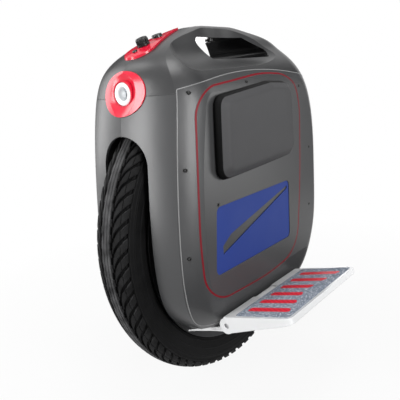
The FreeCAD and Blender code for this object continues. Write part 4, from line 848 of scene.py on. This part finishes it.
def outer_edge(node, side):
    """The longest edge loop between a panel's outside and its walls, as points in order."""
    bm = merged_copy(node)
    beside = {}
    for edge in bm.edges:
        if len(edge.link_faces) == 2:
            outward = sorted((f.normal.y * side for f in edge.link_faces), key=abs)
            if abs(outward[0]) < WALL_FACING and outward[1] > OUTSIDE_FACING:
                for vertex in edge.verts:
                    beside.setdefault(vertex.index, []).append(edge.other_vert(vertex).index)
    bm.verts.ensure_lookup_table()
    loops, seen = [], set()
    for start in sorted(beside):
        if start in seen:
            continue
        chain, here = [], start
        while here is not None:
            seen.add(here)
            chain.append(bm.verts[here].co.copy())
            here = next((n for n in beside[here] if n not in seen), None)
        loops.append(chain)
    bm.free()
    if not loops:
        raise RuntimeError(f"{node} has no outer edge")
    return max(loops, key=lambda chain: sum((b - a).length for a, b in zip(chain, chain[1:])))


def bead(name, chains, closed, radius, finish_name, slot):
    """Round bead along chains of points, fixed to the chassis."""
    points, edges = [], []
    for chain in chains:
        base, count = len(points), len(chain)
        points += chain
        edges += [(base + i, base + (i + 1) % count) for i in range(count if closed else count - 1)]
    piece = new_object(name, points, [], edges)
    run_tree(piece, bead_tree, radius=radius, step=BEAD_STEP_SHARE * radius, material=material(finish_name))
    close_up(piece.data, crease=60)
    finish_piece(piece, "chassis", slot)


def panel_edge(side_name, side, settings):
    """Rolled edge of a side panel, which catches the light along the seam; its paler grey is a painted highlight.
    """
    sunk = LEFTWARD * (-side * EDGE_SINK_SHARE * settings.edge_bead)
    points = [p + sunk for p in outer_edge("side_panel_" + side_name, side)]
    bead("panel_edge_" + side_name, [points], True, settings.edge_bead, "edge_painted_highlight", "casing_grey")


def nose_seam(settings):
    """Lip that closes the seam between the nose and the top shell."""
    low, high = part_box("front_fascia")
    shell_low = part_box("top_shell")[0]
    seam = max(high.z, (high.z + shell_low.z) / 2)
    skin = surface("front_fascia")
    points = []
    for share in np.linspace(*SEAM_SPAN_SHARES, SEAM_POINTS):
        start = Vector((high.x + RAY_START, low.y + (high.y - low.y) * share, high.z - SEAM_BELOW))
        hit = skin.ray_cast(start, -FORWARD)[0]
        if hit is not None and hit.x > 0:
            points.append(Vector((hit.x - SEAM_SINK_SHARE * settings.seam_bead, hit.y, seam)))
    bead("nose_seam", [points], False, settings.seam_bead, "casing_grey", "casing_grey")


def screw_head(radius, sunk):
    """Low screw head with a hexagon socket, made along Z."""
    rings = []
    for share, level, hexagon in HEAD_RING_SHARES:
        height = level * (SCREW_RISE if level > 0 else sunk)
        ring = []
        for i in range(HEAD_STEPS):
            turn = i * FULL_TURN / HEAD_STEPS
            reach = radius * share * (math.cos(FULL_TURN / HEAD_STEPS) if hexagon and i % 2 else 1.0)
            ring.append(Vector((reach * math.cos(turn), reach * math.sin(turn), height)))
        rings.append(ring)
    return new_object("screw_head", *stack(rings))


def seat_screws(name, node, body, slot, sunk, from_foot):
    """Screw heads in place of a CAD node's plain screws, seated from the screw's foot or from its face."""
    points, facings, radius = [], [], 0.0
    for low, high in islands(node):
        middle = (low + high) / 2
        side = math.copysign(1, middle.y)
        foot, face = sorted((abs(low.y), abs(high.y)))
        level = foot + sunk if from_foot else face - SCREW_RISE
        points.append(Vector((middle.x, side * level, middle.z)))
        facings.append(LEFTWARD * side)
        radius = max(radius, (high.x - low.x) / 2)
    piece = new_object(name, points, [])
    facing = piece.data.attributes.new("facing", "FLOAT_VECTOR", "POINT")
    facing.data.foreach_set("vector", np.array(facings, np.float32).ravel())
    head = screw_head(radius, sunk)
    run_tree(piece, seat_tree, shape=head, material=material(slot))
    bpy.data.objects.remove(head)
    close_up(piece.data)
    finish_piece(piece, body, slot, node)


# Lamps and controls

TURNED_STEPS = 64
RING_CREST = 4.0 * MM
LIP_STEPS = 12
LENS_TOOTH = 0.9 * MM
LENS_EYE_DROP = 1.5 * LENS_TOOTH
LENS_VALLEY = 2.4 * LENS_TOOTH
LENS_PEAK = 1.4 * LENS_TOOTH
LENS_RINGS = 4
EYE_SHARE = 0.5
EYE_RING_SHARES = (0.35, 0.7, 1.0)
CAP_CLEARANCE = 0.3 * MM
CAP_WALL_SHARE = 0.92
CAP_FLANGE = 2.0 * MM
CAP_FLANGE_SLOPE = 0.3 * MM
CAP_ROOF = 2.0 * MM
CAP_DISH = 0.7 * MM
CAP_DISH_SHARE = 0.60
CAP_RIM_SHARES = (0.68, 0.84)
CAP_CHAMFER = 0.9 * MM
KNURL_COUNT = 42
KNURL_HALF = 0.36 * MM
KNURL_REACH_SHARE = 0.965
KNURL_CREST_SHARE = 0.6
KNURL_FOOT = 0.5 * MM
KNURL_TOP = 1.4 * MM
BUTTON_RIM_SHARE = 0.12
TAIL_RIB_RADIUS = 1.0 * MM
TAIL_RIBS = 15
TAIL_RIB_SPAN_SHARES = (0.10, 0.90)
TAIL_RIB_POINTS = 9

# A button's section: share of its radius, and depth below its top as a share of its rim
BUTTON_SECTION_SHARES = ((0.0, 1.4), (0.45, 1.2), (0.70, 0.5), (0.80, 0.0), (0.90, 0.0), (0.964, 0.5),
                         (1.0, 1.6))


def turned(name, profile, place, closed, slot, body, node):
    """A piece turned from (radius, height) pairs about the axis of its place, standing for a CAD node."""
    piece = new_object(name, *lathe(profile, TURNED_STEPS, place, closed))
    close_up(piece.data)
    piece.data.materials.append(material(slot))
    finish_piece(piece, body, slot, node)


def headlight():
    """Opal ring with a round lip, and a lens with a bull's eye among stepped rings."""
    low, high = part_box("headlight_ring")
    lens_low, lens_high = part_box("headlight_lens")
    middle = Vector((0, (low.y + high.y) / 2, (low.z + high.z) / 2))
    outer, inner = (high.y - low.y) / 2, (lens_high.y - lens_low.y) / 2
    front = high.x - low.x
    lip = []
    for step in range(LIP_STEPS + 1):
        turn = math.pi * step / LIP_STEPS
        radius = (outer + inner + (outer - inner) * math.cos(turn)) / 2
        lip.append((radius, front - RING_CREST * (1 - math.sin(turn))))
    ring_place = standing_on(middle + FORWARD * low.x, FORWARD)
    turned("headlight_ring_moulded", [(outer, 0), *lip, (inner, 0)], ring_place, True, "lamp_white",
           "chassis", "headlight_ring")
    thick, eye = lens_high.x - lens_low.x, inner * EYE_SHARE
    profile = [(0, thick)]
    profile += [(eye * share, thick - LENS_EYE_DROP * share ** 2) for share in EYE_RING_SHARES]
    for ring in range(LENS_RINGS):
        start, end = (eye + (inner - eye) * (ring + step) / LENS_RINGS for step in (0, 1))
        profile += [(start, thick - LENS_VALLEY), (end, thick - LENS_PEAK)]
    profile += [(inner, 0), (0, 0)]
    lens_place = standing_on(middle + FORWARD * lens_low.x, FORWARD)
    turned("headlight_lens_stepped", profile, lens_place, False, "lamp_lens", "chassis", "headlight_lens")


def control_seat(node, joint, outward):
    """Place, radius, length and axis of a round control that slides along its joint's axis."""
    axis = Vector(next(j["axis"] for j in frame["joints"] if j["name"] == joint)) * outward
    low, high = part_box(node)
    radius = (high.y - low.y) / 2
    lean = math.hypot(axis.x, axis.y)
    length = (high.z - low.z - 2 * radius * lean) / axis.z
    return standing_on((low + high) / 2 - axis * length / 2, axis), radius, length, axis


def charge_cap():
    """Cap with a flange, a knurled wall and a dished top."""
    place, radius, length, axis = control_seat("charge_cap", "cap_pull", 1)
    socket_low, socket_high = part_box("charge_socket")
    bore = (socket_high.y - socket_low.y) / 2 + CAP_CLEARANCE
    wall, roof = radius * CAP_WALL_SHARE, length - CAP_ROOF
    profile = [(0, length - CAP_DISH), (radius * CAP_DISH_SHARE, length - CAP_DISH)]
    profile += [(radius * share, length) for share in CAP_RIM_SHARES]
    profile += [(wall, length - CAP_CHAMFER), (wall, CAP_FLANGE), (radius, CAP_FLANGE - CAP_FLANGE_SLOPE),
                (radius, 0), (bore, 0), (bore, roof), (0, roof)]
    turned("charge_cap_turned", profile, place, False, "rubber_black", "cap", "charge_cap")
    half, low, high = KNURL_HALF, CAP_FLANGE + KNURL_FOOT, length - KNURL_TOP
    crest, crest_half = radius * KNURL_REACH_SHARE, half * KNURL_CREST_SHARE
    rings = []
    for height, reach in ((low, wall), (low + half, crest), (high - half, crest), (high, wall)):
        section = ((wall - half, -half), (reach, -crest_half), (reach, crest_half), (wall - half, half))
        rings.append([place @ Vector((x, y, height)) for x, y in section])
    knurl = new_object("charge_cap_knurl", *stack(rings))
    run_tree(knurl, ring_tree, count=KNURL_COUNT, centre=tuple(place.translation), axis=tuple(axis),
             material=material("rubber_black"))
    close_up(knurl.data)
    finish_piece(knurl, "cap", "rubber_black", "charge_cap")


def push_button(node, joint, body):
    """Button with a rolled rim round a dished face."""
    place, radius, length, _ = control_seat(node, joint, -1)
    rim = radius * BUTTON_RIM_SHARE
    profile = [(radius * share, length - rim * depth_share) for share, depth_share in BUTTON_SECTION_SHARES]
    turned(node + "_dished", [*profile, (radius, 0), (0, 0)], place, False, "button_black", body, node)


def tail_ribs():
    """Upright prisms moulded on the face of the tail light."""
    low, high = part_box("tail_light")
    skin = surface("tail_light")
    chains = []
    for across in np.linspace(low.y, high.y, TAIL_RIBS + 2)[1:-1]:
        starts = [Vector((low.x - RAY_START, across, low.z + (high.z - low.z) * share))
                  for share in np.linspace(*TAIL_RIB_SPAN_SHARES, TAIL_RIB_POINTS)]
        hits = [skin.ray_cast(start, FORWARD)[0] for start in starts]
        chain = [hit for hit in hits if hit is not None]
        if len(chain) > 2:
            chains.append(chain)
    bead("tail_light_ribs", chains, False, TAIL_RIB_RADIUS, "tail_red", "tail_red")


# Knee pads

PAD_LEAST_CORNER = 6 * MM
PAD_CORNER_LOSS_SHARE = 0.55
PAD_CORNER_STEPS = 6
PAD_WALL_LEVELS = 3

# The outline's corners, as shares of the CAD pad's length and height
PAD_CORNER_SHARES = ((1.010, -0.013), (0.974, 0.897), (0.320, 1.005), (0.008, 0.981), (-0.006, 0.057))

# Each level of the pad: inset of its outline, and its share of the pad's rise
PAD_LEVELS = ((0.0, 0.0), (0.6 * MM, 0.20), (2.6 * MM, 0.50), (4.2 * MM, 0.60), (5.6 * MM, 0.635),
              (8.5 * MM, 0.74), (11.5 * MM, 0.85), (13.6 * MM, 0.905), (16.0 * MM, 0.93), (22.0 * MM, 0.955),
              (32.0 * MM, 0.985))

# The crowned face inside the last level: share of that level's outline, and share of the pad's rise
PAD_CROWN_SHARES = ((0.66, 0.994), (0.33, 1.0))


def inset_corners(corners, distance):
    """Corners of a polygon whose edges have moved inwards."""
    centre = sum(corners, Vector((0, 0))) / len(corners)
    moved = []
    for i, corner in enumerate(corners):
        lines = []
        for a, b in ((corners[i - 1], corner), (corner, corners[(i + 1) % len(corners)])):
            normal = Vector((a.y - b.y, b.x - a.x)).normalized()
            if normal.dot(centre - a) < 0:
                normal = -normal
            lines.append((normal, normal.dot(a) + distance))
        (first, first_reach), (second, second_reach) = lines
        cross = first.x * second.y - first.y * second.x
        moved.append(Vector(((first_reach * second.y - second_reach * first.y) / cross,
                             (first.x * second_reach - second.x * first_reach) / cross)))
    return moved


def round_outline(corners, radius, steps):
    """Points of a polygon with round corners, the same number for every radius."""
    points = []
    for i, corner in enumerate(corners):
        before = (corners[i - 1] - corner).normalized()
        after = (corners[(i + 1) % len(corners)] - corner).normalized()
        half = before.angle(after) / 2
        middle = corner + (before + after).normalized() * (radius / math.sin(half))
        start = corner + before * (radius / math.tan(half)) - middle
        sweep = math.copysign(math.pi - 2 * half, before.cross(after))
        for step in range(steps + 1):
            turn = -sweep * step / steps
            points.append(middle + Vector((start.x * math.cos(turn) - start.y * math.sin(turn),
                                           start.x * math.sin(turn) + start.y * math.cos(turn))))
    return points


def knee_pad(side_name, side, settings):
    """Moulded foam pad: black wall, broad chamfer and a crowned face."""
    node = "knee_pad_" + side_name
    low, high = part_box(node)
    across, rise, tall = high - low
    foot = low.y if side > 0 else high.y
    corners = [Vector((low.x + across * x, low.z + tall * z)) for x, z in PAD_CORNER_SHARES]
    rings = []
    for inset, share in PAD_LEVELS:
        radius = max(settings.corner - inset * PAD_CORNER_LOSS_SHARE, PAD_LEAST_CORNER)
        outline = round_outline(inset_corners(corners, inset), radius, PAD_CORNER_STEPS)
        rings.append([Vector((p.x, foot + side * rise * share, p.y)) for p in outline])
    face = rings[-1]
    centre = sum(face, Vector()) / len(face)
    for share, lift in PAD_CROWN_SHARES:
        rings.append([Vector((centre.x + (p.x - centre.x) * share, foot + side * rise * lift,
                              centre.z + (p.z - centre.z) * share)) for p in face])
    piece = new_object(node + "_moulded", *stack(rings))
    piece.data.materials.append(material("pad_foam"))
    piece.data.materials.append(material("pad_wall"))
    for polygon in piece.data.polygons:
        if polygon.index < PAD_WALL_LEVELS * len(face):
            polygon.material_index = 1
    close_up(piece.data, crease=180)
    smooth = piece.modifiers.new("Subdivision", "SUBSURF")
    smooth.levels = smooth.render_levels = 1
    finish_piece(piece, "chassis", "pad_foam", node)


# Studio

SENSOR_WIDTH = 36.0
FLOOR_REACH = 6.0
FLOOR_FADE = (0.25, 0.9)
FLOOR_WHITE_SHARE = 0.91
WORLD_FILL = 0.07
CARD_LIFT = 0.5 * MM
CARD_BLACK = (0.01, 0.01, 0.01)
CASING_MIDDLE = (0, 0, 0.35)

# Each lamp: name, place, aim, width, height and power in watts
LAMPS = (
    ("front_softbox", (1.52, -0.54, 0.65), CASING_MIDDLE, 0.42, 1.1, 23),
    ("far_softbox", (0.41, -1.44, 0.85), (0, 0, 0.40), 0.5, 1.2, 7),
    ("rear_softbox", (-1.47, -1.03, 0.70), CASING_MIDDLE, 0.8, 0.8, 6),
    ("corner_softbox", (0.40, 1.60, 0.65), CASING_MIDDLE, 0.40, 1.0, 20),
    ("side_softbox", (-0.95, 1.05, 0.50), CASING_MIDDLE, 0.40, 0.9, 5),
    ("top_softbox", (0.30, 0.40, 2.20), (0, 0, 0.20), 1.0, 1.0, 24),
    ("nose_softbox", (0.72, -0.84, 1.95), (0.15, 0, 0.50), 0.6, 0.6, 6),
)

# Each card: name, azimuth in degrees, distance of its foot, width, height and lean in degrees
CARDS = (
    ("side_card", 160, 1.25, 0.60, 1.4, 0),
    ("far_card", -116, 1.10, 0.90, 1.2, 0),
    ("tall_card", 121, 2.2, 1.2, 3.2, 0),
    ("floor_card", 100, 0.16, 1.0, 0.8, 90),
)


def camera(settings):
    """Camera at the photograph's angle."""
    azimuth, elevation, roll = settings.azimuth, settings.elevation, settings.roll
    level = math.cos(elevation)
    back = Vector((math.cos(azimuth) * level, math.sin(azimuth) * level, math.sin(elevation)))
    right = Vector((-math.sin(azimuth), math.cos(azimuth), 0))
    up = back.cross(right)
    across = right * math.cos(roll) + up * math.sin(roll)
    upright = up * math.cos(roll) - right * math.sin(roll)
    data = bpy.data.cameras.new("studio_camera")
    data.lens = settings.lens
    data.sensor_width = SENSOR_WIDTH
    eye = link(bpy.data.objects.new("studio_camera", data))
    turn = Matrix((across, upright, back)).transposed().to_4x4()
    eye.matrix_world = Matrix.Translation(settings.place) @ turn
    bpy.context.scene.camera = eye


def soft_light(name, place, aim, width, height, power):
    data = bpy.data.lights.new(name, "AREA")
    data.shape = "RECTANGLE"
    data.size, data.size_y = width, height
    data.energy = power
    lamp = link(bpy.data.objects.new(name, data))
    lamp.location = place
    lamp.rotation_mode = "QUATERNION"
    lamp.rotation_quaternion = (Vector(aim) - Vector(place)).to_track_quat("-Z", "Y")


def matt(name, colour, specular):
    made, t, shader = shaded(name)
    t.fill(shader, {"Base Color": rgba(colour), "Roughness": 0.9, "Specular IOR Level": specular})
    return made, t


def dark_card(name, azimuth, distance, width, height, lean):
    """Black card that only shows in the casing's sheen: upright, or leaning back as far as the floor."""
    place = (Matrix.Rotation(math.radians(azimuth), 4, "Z") @ Matrix.Translation((distance, 0, CARD_LIFT))
             @ Matrix.Rotation(math.radians(lean), 4, "Y"))
    half = width / 2
    corners = [place @ Vector((0, y, z)) for y, z in ((-half, 0), (half, 0), (half, height), (-half, height))]
    card = new_object(name, corners, [(0, 1, 2, 3)])
    card.data.materials.append(matt(name, CARD_BLACK, 0.0)[0])
    card.visible_camera = card.visible_diffuse = card.visible_shadow = False


def seen_directly(t):
    """1 for what the camera, mirrors and glass see, 0 for light that falls on the object."""
    path = t.add("ShaderNodeLightPath").outputs
    mirrored = t.math("MAXIMUM", path["Is Glossy Ray"], path["Is Transmission Ray"])
    return t.math("MAXIMUM", path["Is Camera Ray"], mirrored)


def white_world():
    """White where it is seen, and faint where it lights the object."""
    world = bpy.data.worlds.new("studio_world")
    bpy.context.scene.world = world
    world.use_nodes = True
    t = Tree(world.node_tree)
    strength = t.add("ShaderNodeMapRange", {"Value": seen_directly(t), "To Min": WORLD_FILL,
                                            "To Max": 1.0}).outputs[0]
    t.fill(world.node_tree.nodes["Background"].inputs, {"Color": (1.0, 1.0, 1.0, 1.0), "Strength": strength})


def studio_floor(settings):
    """Pale floor that keeps the shadow near the object and fades into the white far from it."""
    corners = [(x * FLOOR_REACH, y * FLOOR_REACH, 0) for x, y in ((-1, -1), (1, -1), (1, 1), (-1, 1))]
    floor = new_object("studio_floor", corners, [(0, 1, 2, 3)])
    made, t = matt("studio_floor", settings.floor, 0.1)
    nodes = made.node_tree.nodes
    white = t.add("ShaderNodeEmission", {"Strength": 1.0}).outputs[0]
    away = t.add("ShaderNodeVectorMath", {0: t.where()}, operation="LENGTH").outputs["Value"]
    whiteness = t.line(t.spread(away, *FLOOR_FADE), 1 - FLOOR_WHITE_SHARE, FLOOR_WHITE_SHARE)
    share = t.math("MULTIPLY", whiteness, seen_directly(t))
    mixed = t.add("ShaderNodeMixShader", {0: share, 1: nodes["Principled BSDF"].outputs[0], 2: white})
    t.put(nodes["Material Output"].inputs["Surface"], mixed.outputs[0])
    floor.data.materials.append(made)


# Operators

class UNICYCLE_OT_finishes(bpy.types.Operator):
    """Makes the materials and puts each one on the CAD pieces of its slot"""
    bl_idname = "unicycle.finishes"
    bl_label = "Finishes"

    def execute(self, context):
        scene = context.scene
        casing, pads = scene.unicycle_casing, scene.unicycle_pads
        MATERIALS.update(slot_materials(casing, pads, scene.unicycle_pedals, scene.unicycle_tyre))
        MATERIALS.update(extra_materials(casing, pads))
        for part in frame["record"]["subparts"]:
            dress(part["node"], material(part["material_slot"]))
        dress("light_strips", material("light_line"))
        # The top shell gets the darkened satin, which paints shade on the top
        dress("top_shell", material("top_satin_painted_shade"))
        line_handle()
        return {"FINISHED"}


class UNICYCLE_OT_tyre(bpy.types.Operator):
    """Builds the tyre's carcass and its tread"""
    bl_idname = "unicycle.tyre"
    bl_label = "Tyre"

    def execute(self, context):
        settings = context.scene.unicycle_tyre
        tyre_carcass(settings)
        tyre_tread(settings)
        return {"FINISHED"}


class UNICYCLE_OT_fasteners(bpy.types.Operator):
    """Builds the screw heads of the panels and the motor covers"""
    bl_idname = "unicycle.fasteners"
    bl_label = "Fasteners"

    def execute(self, context):
        seat_screws("panel_screw_heads", "panel_screws", "chassis", "screw_black", PANEL_SCREW_SUNK, False)
        seat_screws("cover_screw_heads", "cover_screws", "wheel", "steel", COVER_SCREW_SUNK, True)
        return {"FINISHED"}


class UNICYCLE_OT_panel_edges(bpy.types.Operator):
    """Rolls the edge round each side panel and the lip of the nose's seam"""
    bl_idname = "unicycle.panel_edges"
    bl_label = "Panel Edges"

    def execute(self, context):
        for side_name, side in SIDES:
            panel_edge(side_name, side, context.scene.unicycle_casing)
        nose_seam(context.scene.unicycle_casing)
        return {"FINISHED"}


class UNICYCLE_OT_controls(bpy.types.Operator):
    """Builds the lamps, the charge cap and the buttons"""
    bl_idname = "unicycle.controls"
    bl_label = "Lamps and Controls"

    def execute(self, context):
        headlight()
        tail_ribs()
        charge_cap()
        push_button("power_button", "power_press", "power_key")
        push_button("light_button", "light_press", "light_key")
        return {"FINISHED"}


class UNICYCLE_OT_knee_pads(bpy.types.Operator):
    """Builds the moulded knee pads"""
    bl_idname = "unicycle.knee_pads"
    bl_label = "Knee Pads"

    def execute(self, context):
        for side_name, side in SIDES:
            knee_pad(side_name, side, context.scene.unicycle_pads)
        return {"FINISHED"}


class UNICYCLE_OT_studio(bpy.types.Operator):
    """Sets up the white studio, its lamps and cards, and the camera"""
    bl_idname = "unicycle.studio"
    bl_label = "Studio"

    def execute(self, context):
        settings = context.scene.unicycle_studio
        context.scene.view_settings.view_transform = "Standard"
        white_world()
        studio_floor(settings)
        for lamp in LAMPS:
            soft_light(*lamp)
        for card in CARDS:
            dark_card(*card)
        camera(settings)
        return {"FINISHED"}


class UNICYCLE_PT_sidebar(bpy.types.Panel):
    """Lists the steps that dress the unicycle"""
    bl_idname = "UNICYCLE_PT_sidebar"
    bl_label = "Electric Unicycle"
    bl_space_type = "VIEW_3D"
    bl_region_type = "UI"
    bl_category = "Unicycle"

    def draw(self, context):
        for step in STEPS:
            self.layout.operator(step.bl_idname)


SETTINGS = {
    "unicycle_tyre": TyreSettings,
    "unicycle_casing": CasingSettings,
    "unicycle_pads": PadSettings,
    "unicycle_pedals": PedalSettings,
    "unicycle_studio": StudioSettings,
}
STEPS = (UNICYCLE_OT_finishes, UNICYCLE_OT_tyre, UNICYCLE_OT_fasteners, UNICYCLE_OT_panel_edges,
         UNICYCLE_OT_controls, UNICYCLE_OT_knee_pads, UNICYCLE_OT_studio)


def register():
    for cls in (*SETTINGS.values(), *STEPS, UNICYCLE_PT_sidebar):
        bpy.utils.register_class(cls)
    for name, cls in SETTINGS.items():
        setattr(bpy.types.Scene, name, PointerProperty(type=cls))


def unregister():
    for name in SETTINGS:
        delattr(bpy.types.Scene, name)
    for cls in (UNICYCLE_PT_sidebar, *reversed(STEPS), *reversed(tuple(SETTINGS.values()))):
        bpy.utils.unregister_class(cls)


def main():
    register()
    bpy.ops.unicycle.finishes()
    bpy.ops.unicycle.tyre()
    bpy.ops.unicycle.fasteners()
    bpy.ops.unicycle.panel_edges()
    bpy.ops.unicycle.controls()
    bpy.ops.unicycle.knee_pads()
    bpy.ops.unicycle.studio()


if __name__ == "__main__":
    main()
